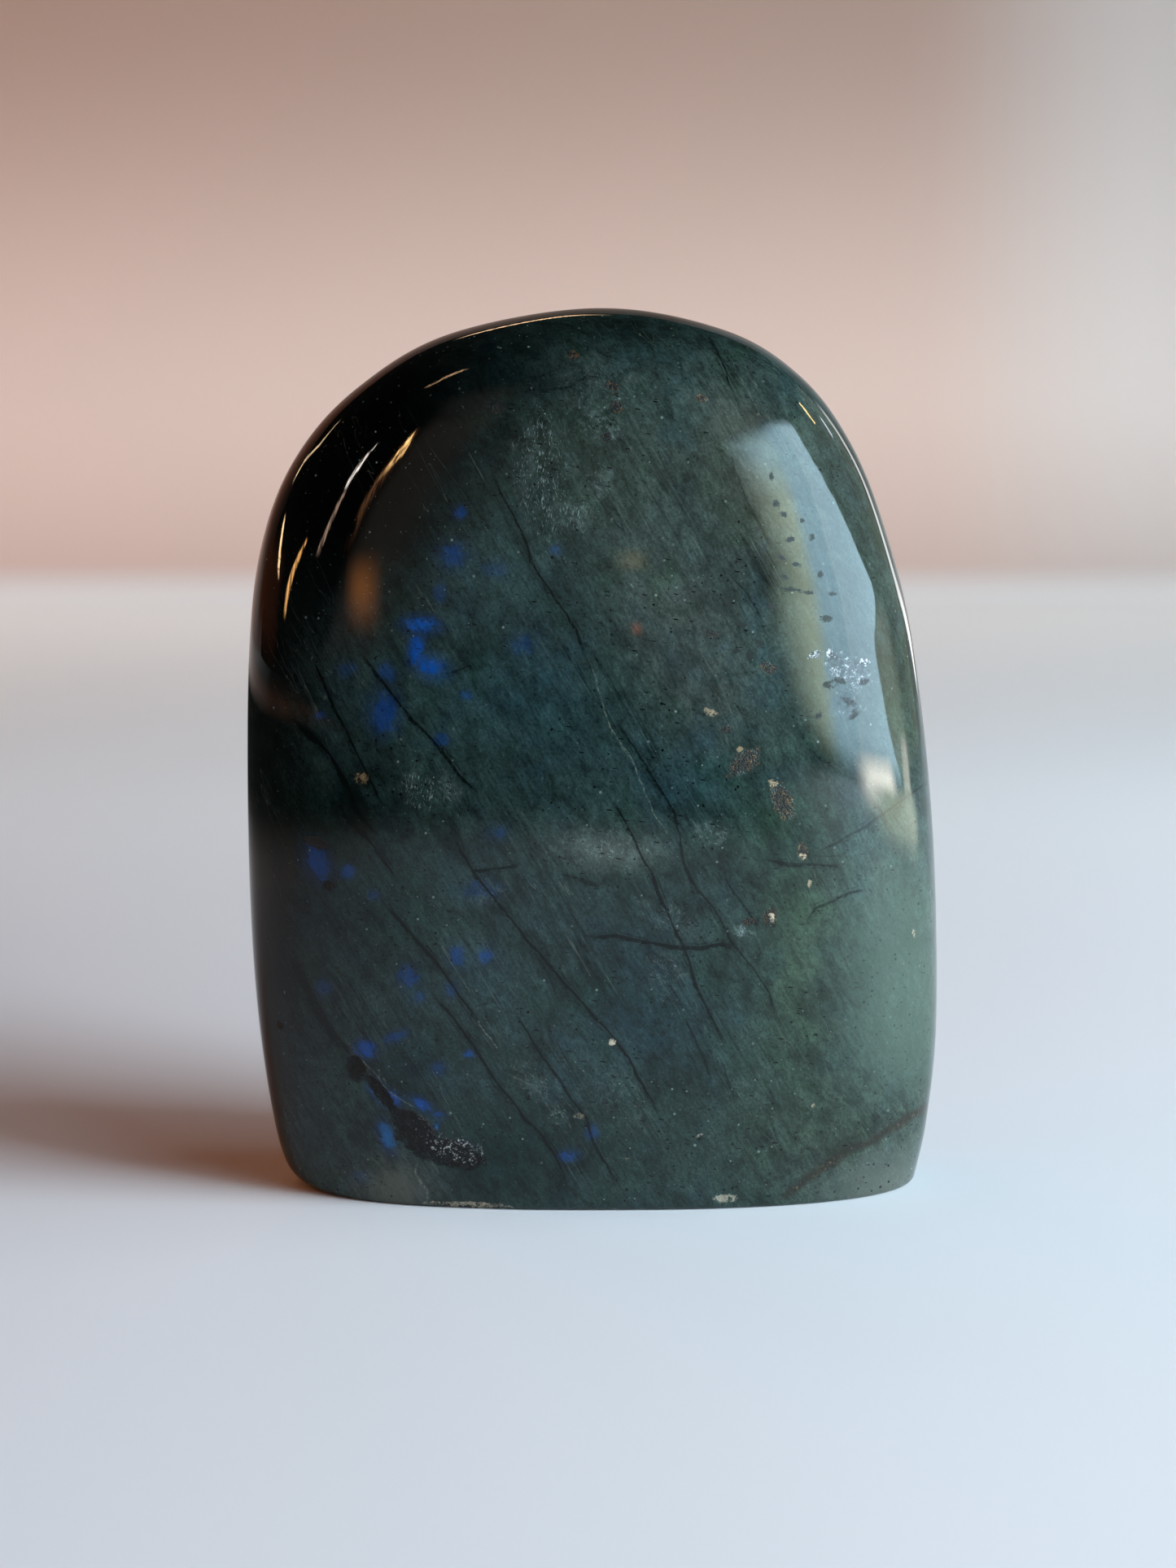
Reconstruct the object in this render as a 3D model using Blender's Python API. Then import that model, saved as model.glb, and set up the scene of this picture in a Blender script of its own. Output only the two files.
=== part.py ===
"""Polished labradorite freeform: one solid stone, rounded on every side, that stands on a flat sawn base.

Axes: X across the broad face, Y into the stone from that face, Z up. The origin is on the base's plane, under
the middle of the stone's width and thickness.
"""

import math

import bmesh
import bpy
import numpy as np

MM = 0.001

# Driving dimensions of the stone, in millimetres.
HEIGHT = 100.0
APEX_X = 0.4
# The widest line, from which the front and back swell, lies this far behind the middle of the thickness.
WIDEST_Y = 0.7
# The broad face's outline from the base, where the left side is fuller at the shoulder: (x, height) points.
LEFT_EDGE = [
    (-35.3, 0.0), (-37.3, 7.0), (-39.1, 22.0), (-39.65, 41.0), (-39.1, 62.5),
    (-37.2, 75.0), (-33.2, 84.0), (-26.4, 91.3), (-16.0, 97.2),
]
RIGHT_EDGE = [
    (37.4, 0.0), (38.8, 7.5), (39.65, 20.0), (38.7, 42.0), (36.1, 62.5),
    (32.9, 75.0), (28.9, 84.8), (23.1, 92.4), (14.4, 97.6),
]
# How far the polished front and back swell from the widest line, at each height.
FRONT_SWELL = [
    (13.3, 0.0), (15.8, 20.0), (17.0, 42.0), (16.5, 62.0), (15.0, 77.0), (12.9, 88.0), (9.4, 95.5),
]
BACK_SWELL = [
    (12.9, 0.0), (14.8, 20.0), (15.6, 42.0), (14.9, 62.0), (13.3, 77.0), (11.2, 88.0), (7.9, 95.5),
]
# The exponent of each level section: 2 is an ellipse, and more is squarer.
SECTION_POWER = 2.35
# The rolled edge round the base: a narrow one, but well rounded at the left end.
BASE_ROLL = 0.7
CORNER_ROLL = 2.5
CORNER_DIRECTION = math.radians(188.0)
CORNER_SPREAD = math.radians(24.0)

# How finely the solid is divided.
SECTION_POINTS = 84
LEVELS = 38
ROLL_LEVELS = 3
CURVE_STEPS = 60

STONE_COLOUR = (0.045, 0.075, 0.078, 1.0)
STONE_ROUGHNESS = 0.12


def clear_scene():
    """Removes every object, so that the scene holds only the stone."""
    for obj in list(bpy.data.objects):
        bpy.data.objects.remove(obj, do_unlink=True)


def smooth_line(points):
    """A Catmull-Rom curve through the points, as many close points along it."""
    p = np.array(points, float)
    p = np.vstack([2 * p[0] - p[1], p, 2 * p[-1] - p[-2]])
    t = np.linspace(0.0, 1.0, CURVE_STEPS, endpoint=False)[:, None]
    spans = []
    for a, b, c, d in zip(p[:-3], p[1:-2], p[2:-1], p[3:]):
        spans.append(
            0.5 * (2 * b + (c - a) * t + (2 * a - 5 * b + 4 * c - d) * t**2 + (3 * b - a - 3 * c + d) * t**3)
        )
    return np.vstack(spans + [p[-2:-1]])


def over_the_top(left, right, apex):
    """One smooth curve up the left points, over the apex and down the right ones, split again at its apex."""
    curve = smooth_line(left + [apex] + right[::-1])
    top = len(left) * CURVE_STEPS
    return curve[: top + 1], curve[top:][::-1]


def distance_at(curve, height):
    """The curve's first coordinate where it reaches each height."""
    return np.interp(height, curve[:, 1], curve[:, 0])


class StoneShape:
    """The stone's surface: a superellipse at each height, whose half-widths follow the edge and swell curves."""

    def __init__(self):
        apex = (APEX_X, HEIGHT)
        self.left, self.right = over_the_top(LEFT_EDGE, RIGHT_EDGE, apex)
        front = [(-depth, height) for depth, height in FRONT_SWELL]
        self.front, self.back = over_the_top(front, BACK_SWELL, (0.0, HEIGHT))

    def point(self, turn, height):
        """The surface point at this height, in the direction turn: 0 is +X and a quarter turn is the back."""
        across, deep = np.cos(turn), np.sin(turn)
        middle = APEX_X * np.clip(height / HEIGHT, 0.0, 1.0)
        half_width = np.where(across < 0, middle - distance_at(self.left, height),
                              distance_at(self.right, height) - middle)
        half_depth = np.where(deep < 0, -distance_at(self.front, height), distance_at(self.back, height))
        reach = (np.abs(across) ** SECTION_POWER + np.abs(deep) ** SECTION_POWER) ** (-1.0 / SECTION_POWER)
        x = middle + half_width * across * reach
        y = WIDEST_Y + half_depth * deep * reach
        return np.stack([x, y, height], axis=-1)

    def turns(self, count):
        """Directions that space the points evenly round the section at mid height, starting at +X."""
        fine = np.linspace(0.0, 2 * math.pi, 4001)
        ring = self.point(fine, np.full(fine.shape, HEIGHT / 2))
        steps = np.linalg.norm(np.diff(ring, axis=0), axis=1)
        travelled = np.concatenate([[0.0], np.cumsum(steps)])
        return np.interp(np.arange(count) / count * travelled[-1], travelled, fine)

    def heights(self, count):
        """Heights that space the levels evenly along the left edge, from the base to just under the apex."""
        steps = np.linalg.norm(np.diff(self.left, axis=0), axis=1)
        travelled = np.concatenate([[0.0], np.cumsum(steps)])
        return np.interp(np.arange(count) / count * travelled[-1], travelled, self.left[:, 1])

    def roll(self, turn):
        """The radius of the rolled base edge in each direction."""
        off = np.angle(np.exp(1j * (turn - CORNER_DIRECTION)))
        return BASE_ROLL + (CORNER_ROLL - BASE_ROLL) * np.exp(-((off / CORNER_SPREAD) ** 2))

    def rings(self):
        """Every ring of points from the base up: first those of the rolled base edge, then the levels of the wall."""
        turn = self.turns(SECTION_POINTS)
        radius = self.roll(turn)
        rings = []
        for step in range(ROLL_LEVELS):
            bend = math.pi / 2 * step / ROLL_LEVELS
            wall = self.point(turn, radius * (1 - math.cos(bend)))
            inset = radius * (1 - math.sin(bend))
            outward = (wall - [0, WIDEST_Y, 0]) * [1, 1, 0]
            outward /= np.linalg.norm(outward, axis=1)[:, None]
            rings.append(wall - outward * inset[:, None])
        for level in self.heights(LEVELS):
            rings.append(self.point(turn, radius + level * (HEIGHT - radius) / HEIGHT))
        return rings


def stone_mesh(shape):
    """The closed mesh: the flat base, a band of faces between each ring and the next, and a fan at the apex."""
    bm = bmesh.new()
    loops = [[bm.verts.new(point * MM) for point in ring] for ring in shape.rings()]
    bm.faces.new(loops[0][::-1])
    for lower, upper in zip(loops, loops[1:]):
        for i in range(SECTION_POINTS):
            j = (i + 1) % SECTION_POINTS
            bm.faces.new((lower[i], lower[j], upper[j], upper[i]))
    apex = bm.verts.new((APEX_X * MM, WIDEST_Y * MM, HEIGHT * MM))
    for i in range(SECTION_POINTS):
        bm.faces.new((loops[-1][i], loops[-1][(i + 1) % SECTION_POINTS], apex))
    bmesh.ops.recalc_face_normals(bm, faces=bm.faces)
    mesh = bpy.data.meshes.new("labradorite_stone")
    bm.to_mesh(mesh)
    bm.free()
    return mesh


def polished_stone():
    """The stone's plain material: dark blue-green feldspar with a polish."""
    material = bpy.data.materials.new("polished_labradorite")
    material.use_nodes = True
    shader = material.node_tree.nodes["Principled BSDF"]
    shader.inputs["Base Color"].default_value = STONE_COLOUR
    shader.inputs["Roughness"].default_value = STONE_ROUGHNESS
    shader.inputs["Metallic"].default_value = 0.0
    return material


def build():
    """Clears the scene and makes the one stone."""
    clear_scene()
    mesh = stone_mesh(StoneShape())
    mesh.materials.append(polished_stone())
    mesh.shade_smooth()
    mesh.set_sharp_from_angle(angle=math.radians(40.0))
    stone = bpy.data.objects.new("labradorite_stone", mesh)
    bpy.context.scene.collection.objects.link(stone)


build()
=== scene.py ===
"""Polished labradorite, dressed: its fine mesh and finish, and the table, window and camera that show it.

The stone is one piece. Its form is the solid's own: a superellipse at every height, whose four half-widths
follow the outline and the swell of the front and back. Its marks are placed by where they stand in the
photograph's frame of 1445 by 1927 pixels, through the fitted camera, and are kept on the mesh as attributes
that the finish reads. Lengths are in millimetres until a mesh is made.
"""

from __future__ import annotations

import logging
import math
from dataclasses import dataclass, field
from enum import Enum
from typing import Any, Callable, ClassVar, Sequence

import bpy
import numpy as np
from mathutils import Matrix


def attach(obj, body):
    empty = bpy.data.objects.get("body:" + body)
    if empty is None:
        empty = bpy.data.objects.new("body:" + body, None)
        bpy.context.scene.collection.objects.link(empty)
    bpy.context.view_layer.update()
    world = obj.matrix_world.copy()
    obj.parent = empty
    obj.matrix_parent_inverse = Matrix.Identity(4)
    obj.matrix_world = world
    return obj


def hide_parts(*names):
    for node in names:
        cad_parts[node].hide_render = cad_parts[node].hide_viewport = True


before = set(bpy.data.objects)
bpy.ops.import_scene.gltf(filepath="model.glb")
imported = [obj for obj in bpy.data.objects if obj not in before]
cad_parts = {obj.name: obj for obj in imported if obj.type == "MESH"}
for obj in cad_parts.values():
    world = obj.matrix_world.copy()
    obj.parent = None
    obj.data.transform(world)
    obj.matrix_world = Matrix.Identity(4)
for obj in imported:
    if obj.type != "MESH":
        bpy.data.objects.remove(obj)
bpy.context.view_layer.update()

LOG = logging.getLogger("labradorite")
MM = 0.001
STONE_NODE = "labradorite_stone"
STONE_SLOT = "polished_labradorite"

Colour = tuple[float, float, float]
Place = tuple[float, float]
Point = tuple[float, float, float]
BLACK: Colour = (0.0, 0.0, 0.0)
LEAST_LENGTH = 1e-9


def smooth(low: float, high: float, value: np.ndarray) -> np.ndarray:
    """Rises smoothly from 0 at low to 1 at high: 3t^2 - 2t^3 of the way between them."""
    t = np.clip((value - low) / (high - low), 0.0, 1.0)
    return t * t * (3.0 - 2.0 * t)


def screen(red: int, green: int, blue: int) -> Colour:
    """The linear colour of a screen colour given from 0 to 255."""
    shares = (c / 255 for c in (red, green, blue))
    return tuple(c / 12.92 if c < 0.0405 else ((c + 0.055) / 1.055) ** 2.4 for c in shares)


def grid_faces(rows: int, columns: int, closed: bool = False) -> np.ndarray:
    """The four-sided faces between the points of a grid that are numbered row by row.

    Each face goes from a point to the next in its row, up to the next row and back.

    Args:
        rows: how many rows the grid has.
        columns: how many points each row has.
        closed: whether each row is a ring, whose last point is next to its first.

    Returns:
        The four point numbers of each face.
    """
    index = np.arange(rows * columns).reshape(rows, columns)
    beside = np.roll(index, -1, axis=1)
    if not closed:
        index, beside = index[:, :-1], beside[:, :-1]
    return np.stack([index[:-1], beside[:-1], beside[1:], index[1:]], axis=-1).reshape(-1, 4)


@dataclass(frozen=True)
class PhotoCamera:
    """The photograph's camera, fitted to the stone's outline and base. It is level and tipped down by fall.

    The fall is how far its axis drops for each millimetre ahead.
    """

    wide_px: int = 1445
    high_px: int = 1927
    focal_px: float = 2900.0
    place: Point = (-0.72, -267.3, 84.55)
    fall: float = 0.1424
    sensor: float = 36.0
    near_clip: float = 10.0

    def to_pixels(self, points: np.ndarray) -> tuple[np.ndarray, np.ndarray]:
        """Where points fall in the photograph.

        The depth is the way ahead along the tipped axis; the pixel is the focal length times the offset from
        that axis over the depth, from the middle of the frame.

        Args:
            points: places in millimetres, with x, y and z last.

        Returns:
            The pixel columns and the pixel rows.
        """
        across, ahead, up = np.moveaxis(points - np.array(self.place), -1, 0)
        tilt = math.atan(self.fall)
        depth = ahead * math.cos(tilt) - up * math.sin(tilt)
        rise = up * math.cos(tilt) + ahead * math.sin(tilt)
        column = self.wide_px / 2 + self.focal_px * across / depth
        return column, self.high_px / 2 - self.focal_px * rise / depth

    def make(self) -> bpy.types.Object:
        """Makes the scene's camera.

        Returns:
            The camera object, which is also the scene's camera.
        """
        data = bpy.data.cameras.new("photo_camera")
        data.sensor_width = self.sensor
        data.lens = self.focal_px / self.high_px * self.sensor
        data.clip_start = self.near_clip * MM
        camera = bpy.data.objects.new("photo_camera", data)
        camera.location = [c * MM for c in self.place]
        camera.rotation_euler = (math.pi / 2 - math.atan(self.fall), 0.0, 0.0)
        bpy.context.scene.collection.objects.link(camera)
        bpy.context.scene.camera = camera
        return camera


@dataclass(frozen=True)
class StoneForm:
    """The stone's form, with the driving sizes of the solid. Edge and swell points are (offset, height)."""

    height: float = 100.0
    apex_x: float = 0.4
    widest_y: float = 0.7
    left_edge: tuple[Place, ...] = (
        (-35.3, 0.0), (-37.3, 7.0), (-39.1, 22.0), (-39.65, 41.0), (-39.1, 62.5),
        (-37.2, 75.0), (-33.2, 84.0), (-26.4, 91.3), (-16.0, 97.2),
    )
    right_edge: tuple[Place, ...] = (
        (37.4, 0.0), (38.8, 7.5), (39.65, 20.0), (38.7, 42.0), (36.1, 62.5),
        (32.9, 75.0), (28.9, 84.8), (23.1, 92.4), (14.4, 97.6),
    )
    front_swell: tuple[Place, ...] = (
        (-13.3, 0.0), (-15.8, 20.0), (-17.0, 42.0), (-16.5, 62.0), (-15.0, 77.0), (-12.9, 88.0),
        (-9.4, 95.5),
    )
    back_swell: tuple[Place, ...] = (
        (12.9, 0.0), (14.8, 20.0), (15.6, 42.0), (14.9, 62.0), (13.3, 77.0), (11.2, 88.0), (7.9, 95.5),
    )
    section_power: float = 2.35
    base_roll: float = 0.7
    corner_roll: float = 2.5
    corner_direction: float = math.radians(188.0)
    corner_spread: float = math.radians(24.0)
    curve_steps: int = 60

    def over_the_top(
        self, rising: Sequence[Place], falling: Sequence[Place], apex: Place
    ) -> tuple[np.ndarray, np.ndarray]:
        """One Catmull-Rom curve up one edge, over the apex and down the other, split again at the apex.

        Args:
            rising: one edge's points from the base up.
            falling: the other edge's points from the base up.
            apex: the point where they meet.

        Returns:
            The two halves, each from the base up.
        """
        p = np.array([*rising, apex, *falling[::-1]], float)
        p = np.vstack([2 * p[0] - p[1], p, 2 * p[-1] - p[-2]])
        t = np.linspace(0.0, 1.0, self.curve_steps, endpoint=False)[None, :, None]
        a, b, c, d = (p[i : len(p) - 3 + i, None, :] for i in range(4))
        line = 2 * b + (c - a) * t + (2 * a - 5 * b + 4 * c - d) * t**2 + (3 * b - a - 3 * c + d) * t**3
        line = np.vstack([0.5 * line.reshape(-1, 2), p[-2:-1]])
        top = len(rising) * self.curve_steps
        return line[: top + 1], line[top:][::-1]

    def edges(self) -> dict[str, np.ndarray]:
        """The four edge curves by name, each a list of (offset, height) from the base up."""
        left, right = self.over_the_top(self.left_edge, self.right_edge, (self.apex_x, self.height))
        front, back = self.over_the_top(self.front_swell, self.back_swell, (0.0, self.height))
        return {"left": left, "right": right, "front": front, "back": back}

    def point(self, turn: np.ndarray, height: np.ndarray) -> np.ndarray:
        """The wall's points for directions and heights.

        A superellipse: |x/a|^p + |y/b|^p = 1 along the ray in the direction turn, where a and b are the
        half-widths of the quarter that the ray is in, read off the edge curves at that height.

        Args:
            turn: the directions, 0 along +X and a quarter turn to the back.
            height: the heights above the base, of the same shape.

        Returns:
            The points, with x, y and z last.
        """
        edge = {name: np.interp(height, line[:, 1], line[:, 0]) for name, line in self.edges().items()}
        across, deep = np.cos(turn), np.sin(turn)
        middle = self.apex_x * np.clip(height / self.height, 0.0, 1.0)
        wide = np.where(across < 0, middle - edge["left"], edge["right"] - middle)
        thick = np.where(deep < 0, -edge["front"], edge["back"])
        power = self.section_power
        reach = (np.abs(across) ** power + np.abs(deep) ** power) ** (-1.0 / power)
        x = middle + wide * across * reach
        y = self.widest_y + thick * deep * reach
        return np.stack([x, y, height], axis=-1)

    def roll(self, turn: np.ndarray) -> np.ndarray:
        """The radius of the rolled base edge in each direction: a narrow one, with a bump at the left end."""
        off = np.angle(np.exp(1j * (turn - self.corner_direction)))
        bump = np.exp(-((off / self.corner_spread) ** 2))
        return self.base_roll + (self.corner_roll - self.base_roll) * bump


class Side(Enum):
    """Which face of the stone a mark is on. One that goes through shows on both."""

    FRONT = "front"
    BACK = "back"
    THROUGH = "through"


@dataclass(frozen=True)
class MarkMap:
    """Where each vertex stands in the photograph's frame, and how far behind the widest line it is.

    The back is seen as through the stone from the front, slid across and up as it goes deeper, so a plane
    that runs through the stone comes out on the back a little way off. Marks that end at the widest line fade
    within edge_soft millimetres of it.
    """

    column: np.ndarray
    row: np.ndarray
    behind: np.ndarray
    slide_px: ClassVar[Place] = (74.0, -46.0)
    slide_depth: ClassVar[float] = 12.0
    edge_soft: ClassVar[float] = 1.5

    @classmethod
    def of(cls, points: np.ndarray, form: StoneForm, camera: PhotoCamera) -> MarkMap:
        """Maps the stone's vertices.

        Args:
            points: the vertices, in millimetres.
            form: the stone's form, for its widest line.
            camera: the photograph's camera.

        Returns:
            The map.
        """
        behind = points[..., 1] - form.widest_y
        folded = points.copy()
        folded[..., 1] = form.widest_y - np.abs(behind)
        column, row = camera.to_pixels(folded)
        slid = smooth(0.0, cls.slide_depth, behind)
        return cls(column + cls.slide_px[0] * slid, row + cls.slide_px[1] * slid, behind)

    def share(self, side: Side, soft: float = edge_soft) -> np.ndarray:
        """How much a mark of this side shows at each vertex.

        Args:
            side: the mark's side.
            soft: how many millimetres before and behind the widest line the change takes.

        Returns:
            The share from 0 to 1.
        """
        back = smooth(-soft, soft, self.behind)
        return {Side.FRONT: 1.0 - back, Side.BACK: back, Side.THROUGH: np.ones_like(back)}[side]


# How many millimetres of the stone's front a pixel of the photograph covers.
MM_PER_PIXEL = 0.092


@dataclass(frozen=True)
class Line:
    """A crack or vein that runs along given pixels of the photograph.

    It fades in and out over a share of its length at each end, and sideways between fade_from and its reach,
    which are in millimetres as its half width is.
    """

    path: tuple[Place, ...]
    strength: float
    half_width: float
    side: Side = Side.THROUGH
    end_fade: ClassVar[float] = 0.1
    fade_from: ClassVar[float] = 0.9
    reach: ClassVar[float] = 1.4

    def measure(self, marks: MarkMap) -> tuple[np.ndarray, np.ndarray]:
        """How far each vertex is from the line.

        The distance is to the nearest point of the nearest stretch. Its sign is that of the vertex's side.

        Args:
            marks: where the vertices stand.

        Returns:
            The signed distance in millimetres, and the line's strength there.
        """
        p = np.array(self.path, float)
        start, run = p[:-1], np.diff(p, axis=0)
        length = np.linalg.norm(run, axis=1)
        off_x = marks.column[..., None] - start[:, 0]
        off_y = marks.row[..., None] - start[:, 1]
        t = np.clip((off_x * run[:, 0] + off_y * run[:, 1]) / length**2, 0.0, 1.0)
        apart = np.hypot(off_x - t * run[:, 0], off_y - t * run[:, 1])
        near = apart.argmin(axis=-1)
        sign = np.sign(off_x * run[:, 1] - off_y * run[:, 0])
        pick = near[..., None]
        distance = np.take_along_axis(apart * sign, pick, -1)[..., 0] * MM_PER_PIXEL
        travelled = np.concatenate([[0.0], np.cumsum(length)[:-1]]) + t * length
        along = np.take_along_axis(travelled, pick, -1)[..., 0] / length.sum()
        ends = smooth(0.0, self.end_fade, along) * smooth(1.0, 1.0 - self.end_fade, along)
        near_by = smooth(self.reach, self.fade_from, np.abs(distance))
        return distance, self.strength * ends * near_by * marks.share(self.side)


@dataclass(frozen=True)
class Spot:
    """An oval mark at a pixel of the photograph, with its two radii in pixels.

    The lean turns it clockwise as seen, in degrees. What its gain and tone do is up to the group it is in.
    """

    column: float
    row: float
    wide: float
    high: float
    lean: float = 0.0
    gain: float = 1.0
    tone: float = 0.0
    side: Side = Side.FRONT

    def offset(self, marks: MarkMap) -> tuple[np.ndarray, np.ndarray]:
        """How far each vertex is from the middle along the oval's two ways, as shares of its two radii."""
        turn = math.radians(self.lean)
        x, y = marks.column - self.column, marks.row - self.row
        along = x * math.cos(turn) + y * math.sin(turn)
        beside = y * math.cos(turn) - x * math.sin(turn)
        return along / self.wide, beside / self.high

    def cone(self, marks: MarkMap) -> np.ndarray:
        """1 at the middle and 0 on the rim, falling evenly with the distance, and lower off its side."""
        return 1.0 - np.hypot(*self.offset(marks)) - 2.0 * (1.0 - marks.share(self.side))


def tallest(spots: Sequence[Spot], marks: MarkMap) -> tuple[np.ndarray, np.ndarray, np.ndarray]:
    """The tallest cone of several spots at each vertex.

    Args:
        spots: the spots.
        marks: where the vertices stand.

    Returns:
        Its height, never under -1, and the gain and tone of the spot that it belongs to.
    """
    cones = np.stack([spot.cone(marks) for spot in spots])
    best = cones.argmax(axis=0)
    gains, tones = np.array([s.gain for s in spots]), np.array([s.tone for s in spots])
    return np.clip(cones.max(axis=0), -1.0, 1.0), gains[best], tones[best]


@dataclass(frozen=True)
class Zone:
    """A soft cloud of one colour in the body, round a pixel of the photograph: the stone's own tone, or
    painted shade where the body is made dark because little light falls there.

    Its edge is steeper with more firmness, and it changes to the other side within side_soft millimetres.
    """

    colour: Colour
    column: float
    row: float
    wide: float
    high: float
    lean: float = 0.0
    amount: float = 1.0
    side: Side = Side.FRONT
    firmness: float = 2.0
    side_soft: ClassVar[float] = 8.0

    def weight(self, marks: MarkMap) -> np.ndarray:
        """A bell: the amount times e to the minus d to the firmness, where d is the distance in its radii."""
        distance = np.hypot(*Spot(self.column, self.row, self.wide, self.high, self.lean).offset(marks))
        return self.amount * np.exp(-(distance**self.firmness)) * marks.share(self.side, self.side_soft)


# The steep cleavage lines, from upper left to lower right, in two sets so that no two of a set lie close.
STEEP_LINES = (
    Line(((600, 572), (614, 604), (632, 636), (646, 667), (657, 699), (675, 725), (692, 750), (709, 776),
         (722, 812)), 0.75, 0.10),
    Line(((752, 872), (766, 900), (789, 934), (810, 968), (829, 999), (841, 1063), (855, 1091), (877, 1117),
         (900, 1159), (928, 1195), (945, 1221), (953, 1246), (964, 1268)), 0.7, 0.09),
    Line(((551, 1018), (566, 1044), (580, 1070), (609, 1107), (649, 1157), (689, 1203), (735, 1255),
         (757, 1280), (773, 1302), (785, 1325), (801, 1353), (813, 1381)), 0.95, 0.10),
    Line(((350, 875), (373, 895), (388, 909), (405, 929), (416, 947), (428, 970), (436, 993), (448, 1010),
         (466, 1030)), 1.0, 0.17),
    Line(((474, 1109), (491, 1132), (511, 1155), (534, 1180), (548, 1200), (563, 1223), (577, 1241),
         (589, 1258)), 1.0, 0.12),
    Line(((629, 1241), (646, 1266), (663, 1295), (686, 1324), (703, 1353), (720, 1373), (729, 1404),
         (748, 1437), (764, 1460)), 0.8, 0.09),
    Line(((888, 1307), (895, 1328), (903, 1352)), 0.5, 0.07),
    Line(((871, 411), (883, 436), (891, 453), (895, 474)), 0.7, 0.08),
)
OTHER_STEEP_LINES = (
    Line(((382, 806), (396, 835), (410, 869), (425, 898), (439, 929), (454, 958), (471, 990)), 0.85, 0.10),
    Line(((413, 984), (428, 1007), (445, 1024), (459, 1041), (474, 1061), (486, 1080)), 0.95, 0.12),
    Line(((528, 1218), (548, 1241), (566, 1264), (583, 1287), (597, 1310), (609, 1330), (626, 1350),
         (646, 1376), (663, 1393), (678, 1413), (692, 1444), (699, 1466)), 1.0, 0.11),
    Line(((748, 976), (766, 1007), (779, 1032), (789, 1055), (804, 1080), (815, 1111), (827, 1139),
         (841, 1164), (852, 1201), (863, 1229), (877, 1257), (896, 1290)), 0.9, 0.10),
    Line(((654, 1166), (672, 1195), (684, 1225)), 0.5, 0.07),
    Line(((324, 1134), (336, 1157)), 0.5, 0.08),
    Line(((841, 1249), (855, 1280), (869, 1313), (875, 1332)), 0.6, 0.07),
    Line(((385, 624), (399, 647), (416, 670), (428, 700)), 0.5, 0.12),
    Line(((897, 551), (902, 576), (916, 613), (933, 643), (948, 676)), 0.45, 0.08),
    Line(((900, 711), (916, 728), (937, 760)), 0.5, 0.07),
)
CROSSING_LINES = (
    Line(((439, 794), (454, 817), (474, 843), (491, 866), (508, 886), (528, 906), (548, 929), (566, 955),
         (592, 979)), 0.8, 0.10),
    Line(((888, 1074), (902, 1097), (916, 1116), (934, 1141)), 0.7, 0.08),
    Line(((722, 1153), (757, 1150), (796, 1159), (832, 1164), (860, 1165), (888, 1160), (908, 1167)),
         0.85, 0.13),
    Line(((1003, 1049), (1029, 1035), (1054, 1021), (1079, 1004), (1104, 987), (1129, 969), (1150, 956)),
         0.6, 0.08),
    Line(((935, 1057), (973, 1062), (1036, 1065)), 0.7, 0.13),
    Line(((992, 1133), (1003, 1115), (1026, 1107), (1043, 1097), (1064, 1093)), 0.7, 0.08),
    Line(((578, 1071), (606, 1069), (640, 1063)), 0.8, 0.12),
    Line(((688, 1075), (715, 1081), (739, 1091)), 0.6, 0.14),
    Line(((356, 1175), (370, 1200), (385, 1229), (402, 1261), (419, 1284), (436, 1301)), 0.75, 0.26),
    Line(((549, 829), (580, 818)), 0.6, 0.10),
    Line(((660, 480), (700, 476), (722, 462), (742, 466)), 0.5, 0.10),
)
# Pale healed veins beside the cracks, and the tan and cream threads round the rough inclusion.
PALE_LINES = (
    Line(((722, 806), (737, 853), (751, 895), (776, 934), (790, 968), (804, 1001), (827, 1036)),
         0.75, 0.09),
    Line(((588, 1257), (599, 1272), (612, 1290)), 0.9, 0.10, Side.FRONT),
    Line(((439, 1298), (462, 1321), (474, 1338), (491, 1350), (510, 1362)), 0.9, 0.10, Side.FRONT),
    Line(((513, 1428), (511, 1438), (513, 1446), (521, 1458), (526, 1467), (524, 1480)),
         1.0, 0.14, Side.FRONT),
    Line(((617, 1318), (640, 1326), (664, 1342), (678, 1367)), 0.4, 0.12, Side.FRONT),
)
RUST_VEIN = Line(((955, 1478), (989, 1451), (1015, 1431), (1043, 1414), (1071, 1403), (1093, 1389),
                   (1113, 1375), (1142, 1359), (1165, 1340)), 1.0, 0.42)

# Blue flashes of labradorescence. They are the stone's own schiller, but that is a sheen of light reflected
# inside it that shows only at some angles; here it is painted into the colour on every side.
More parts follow.
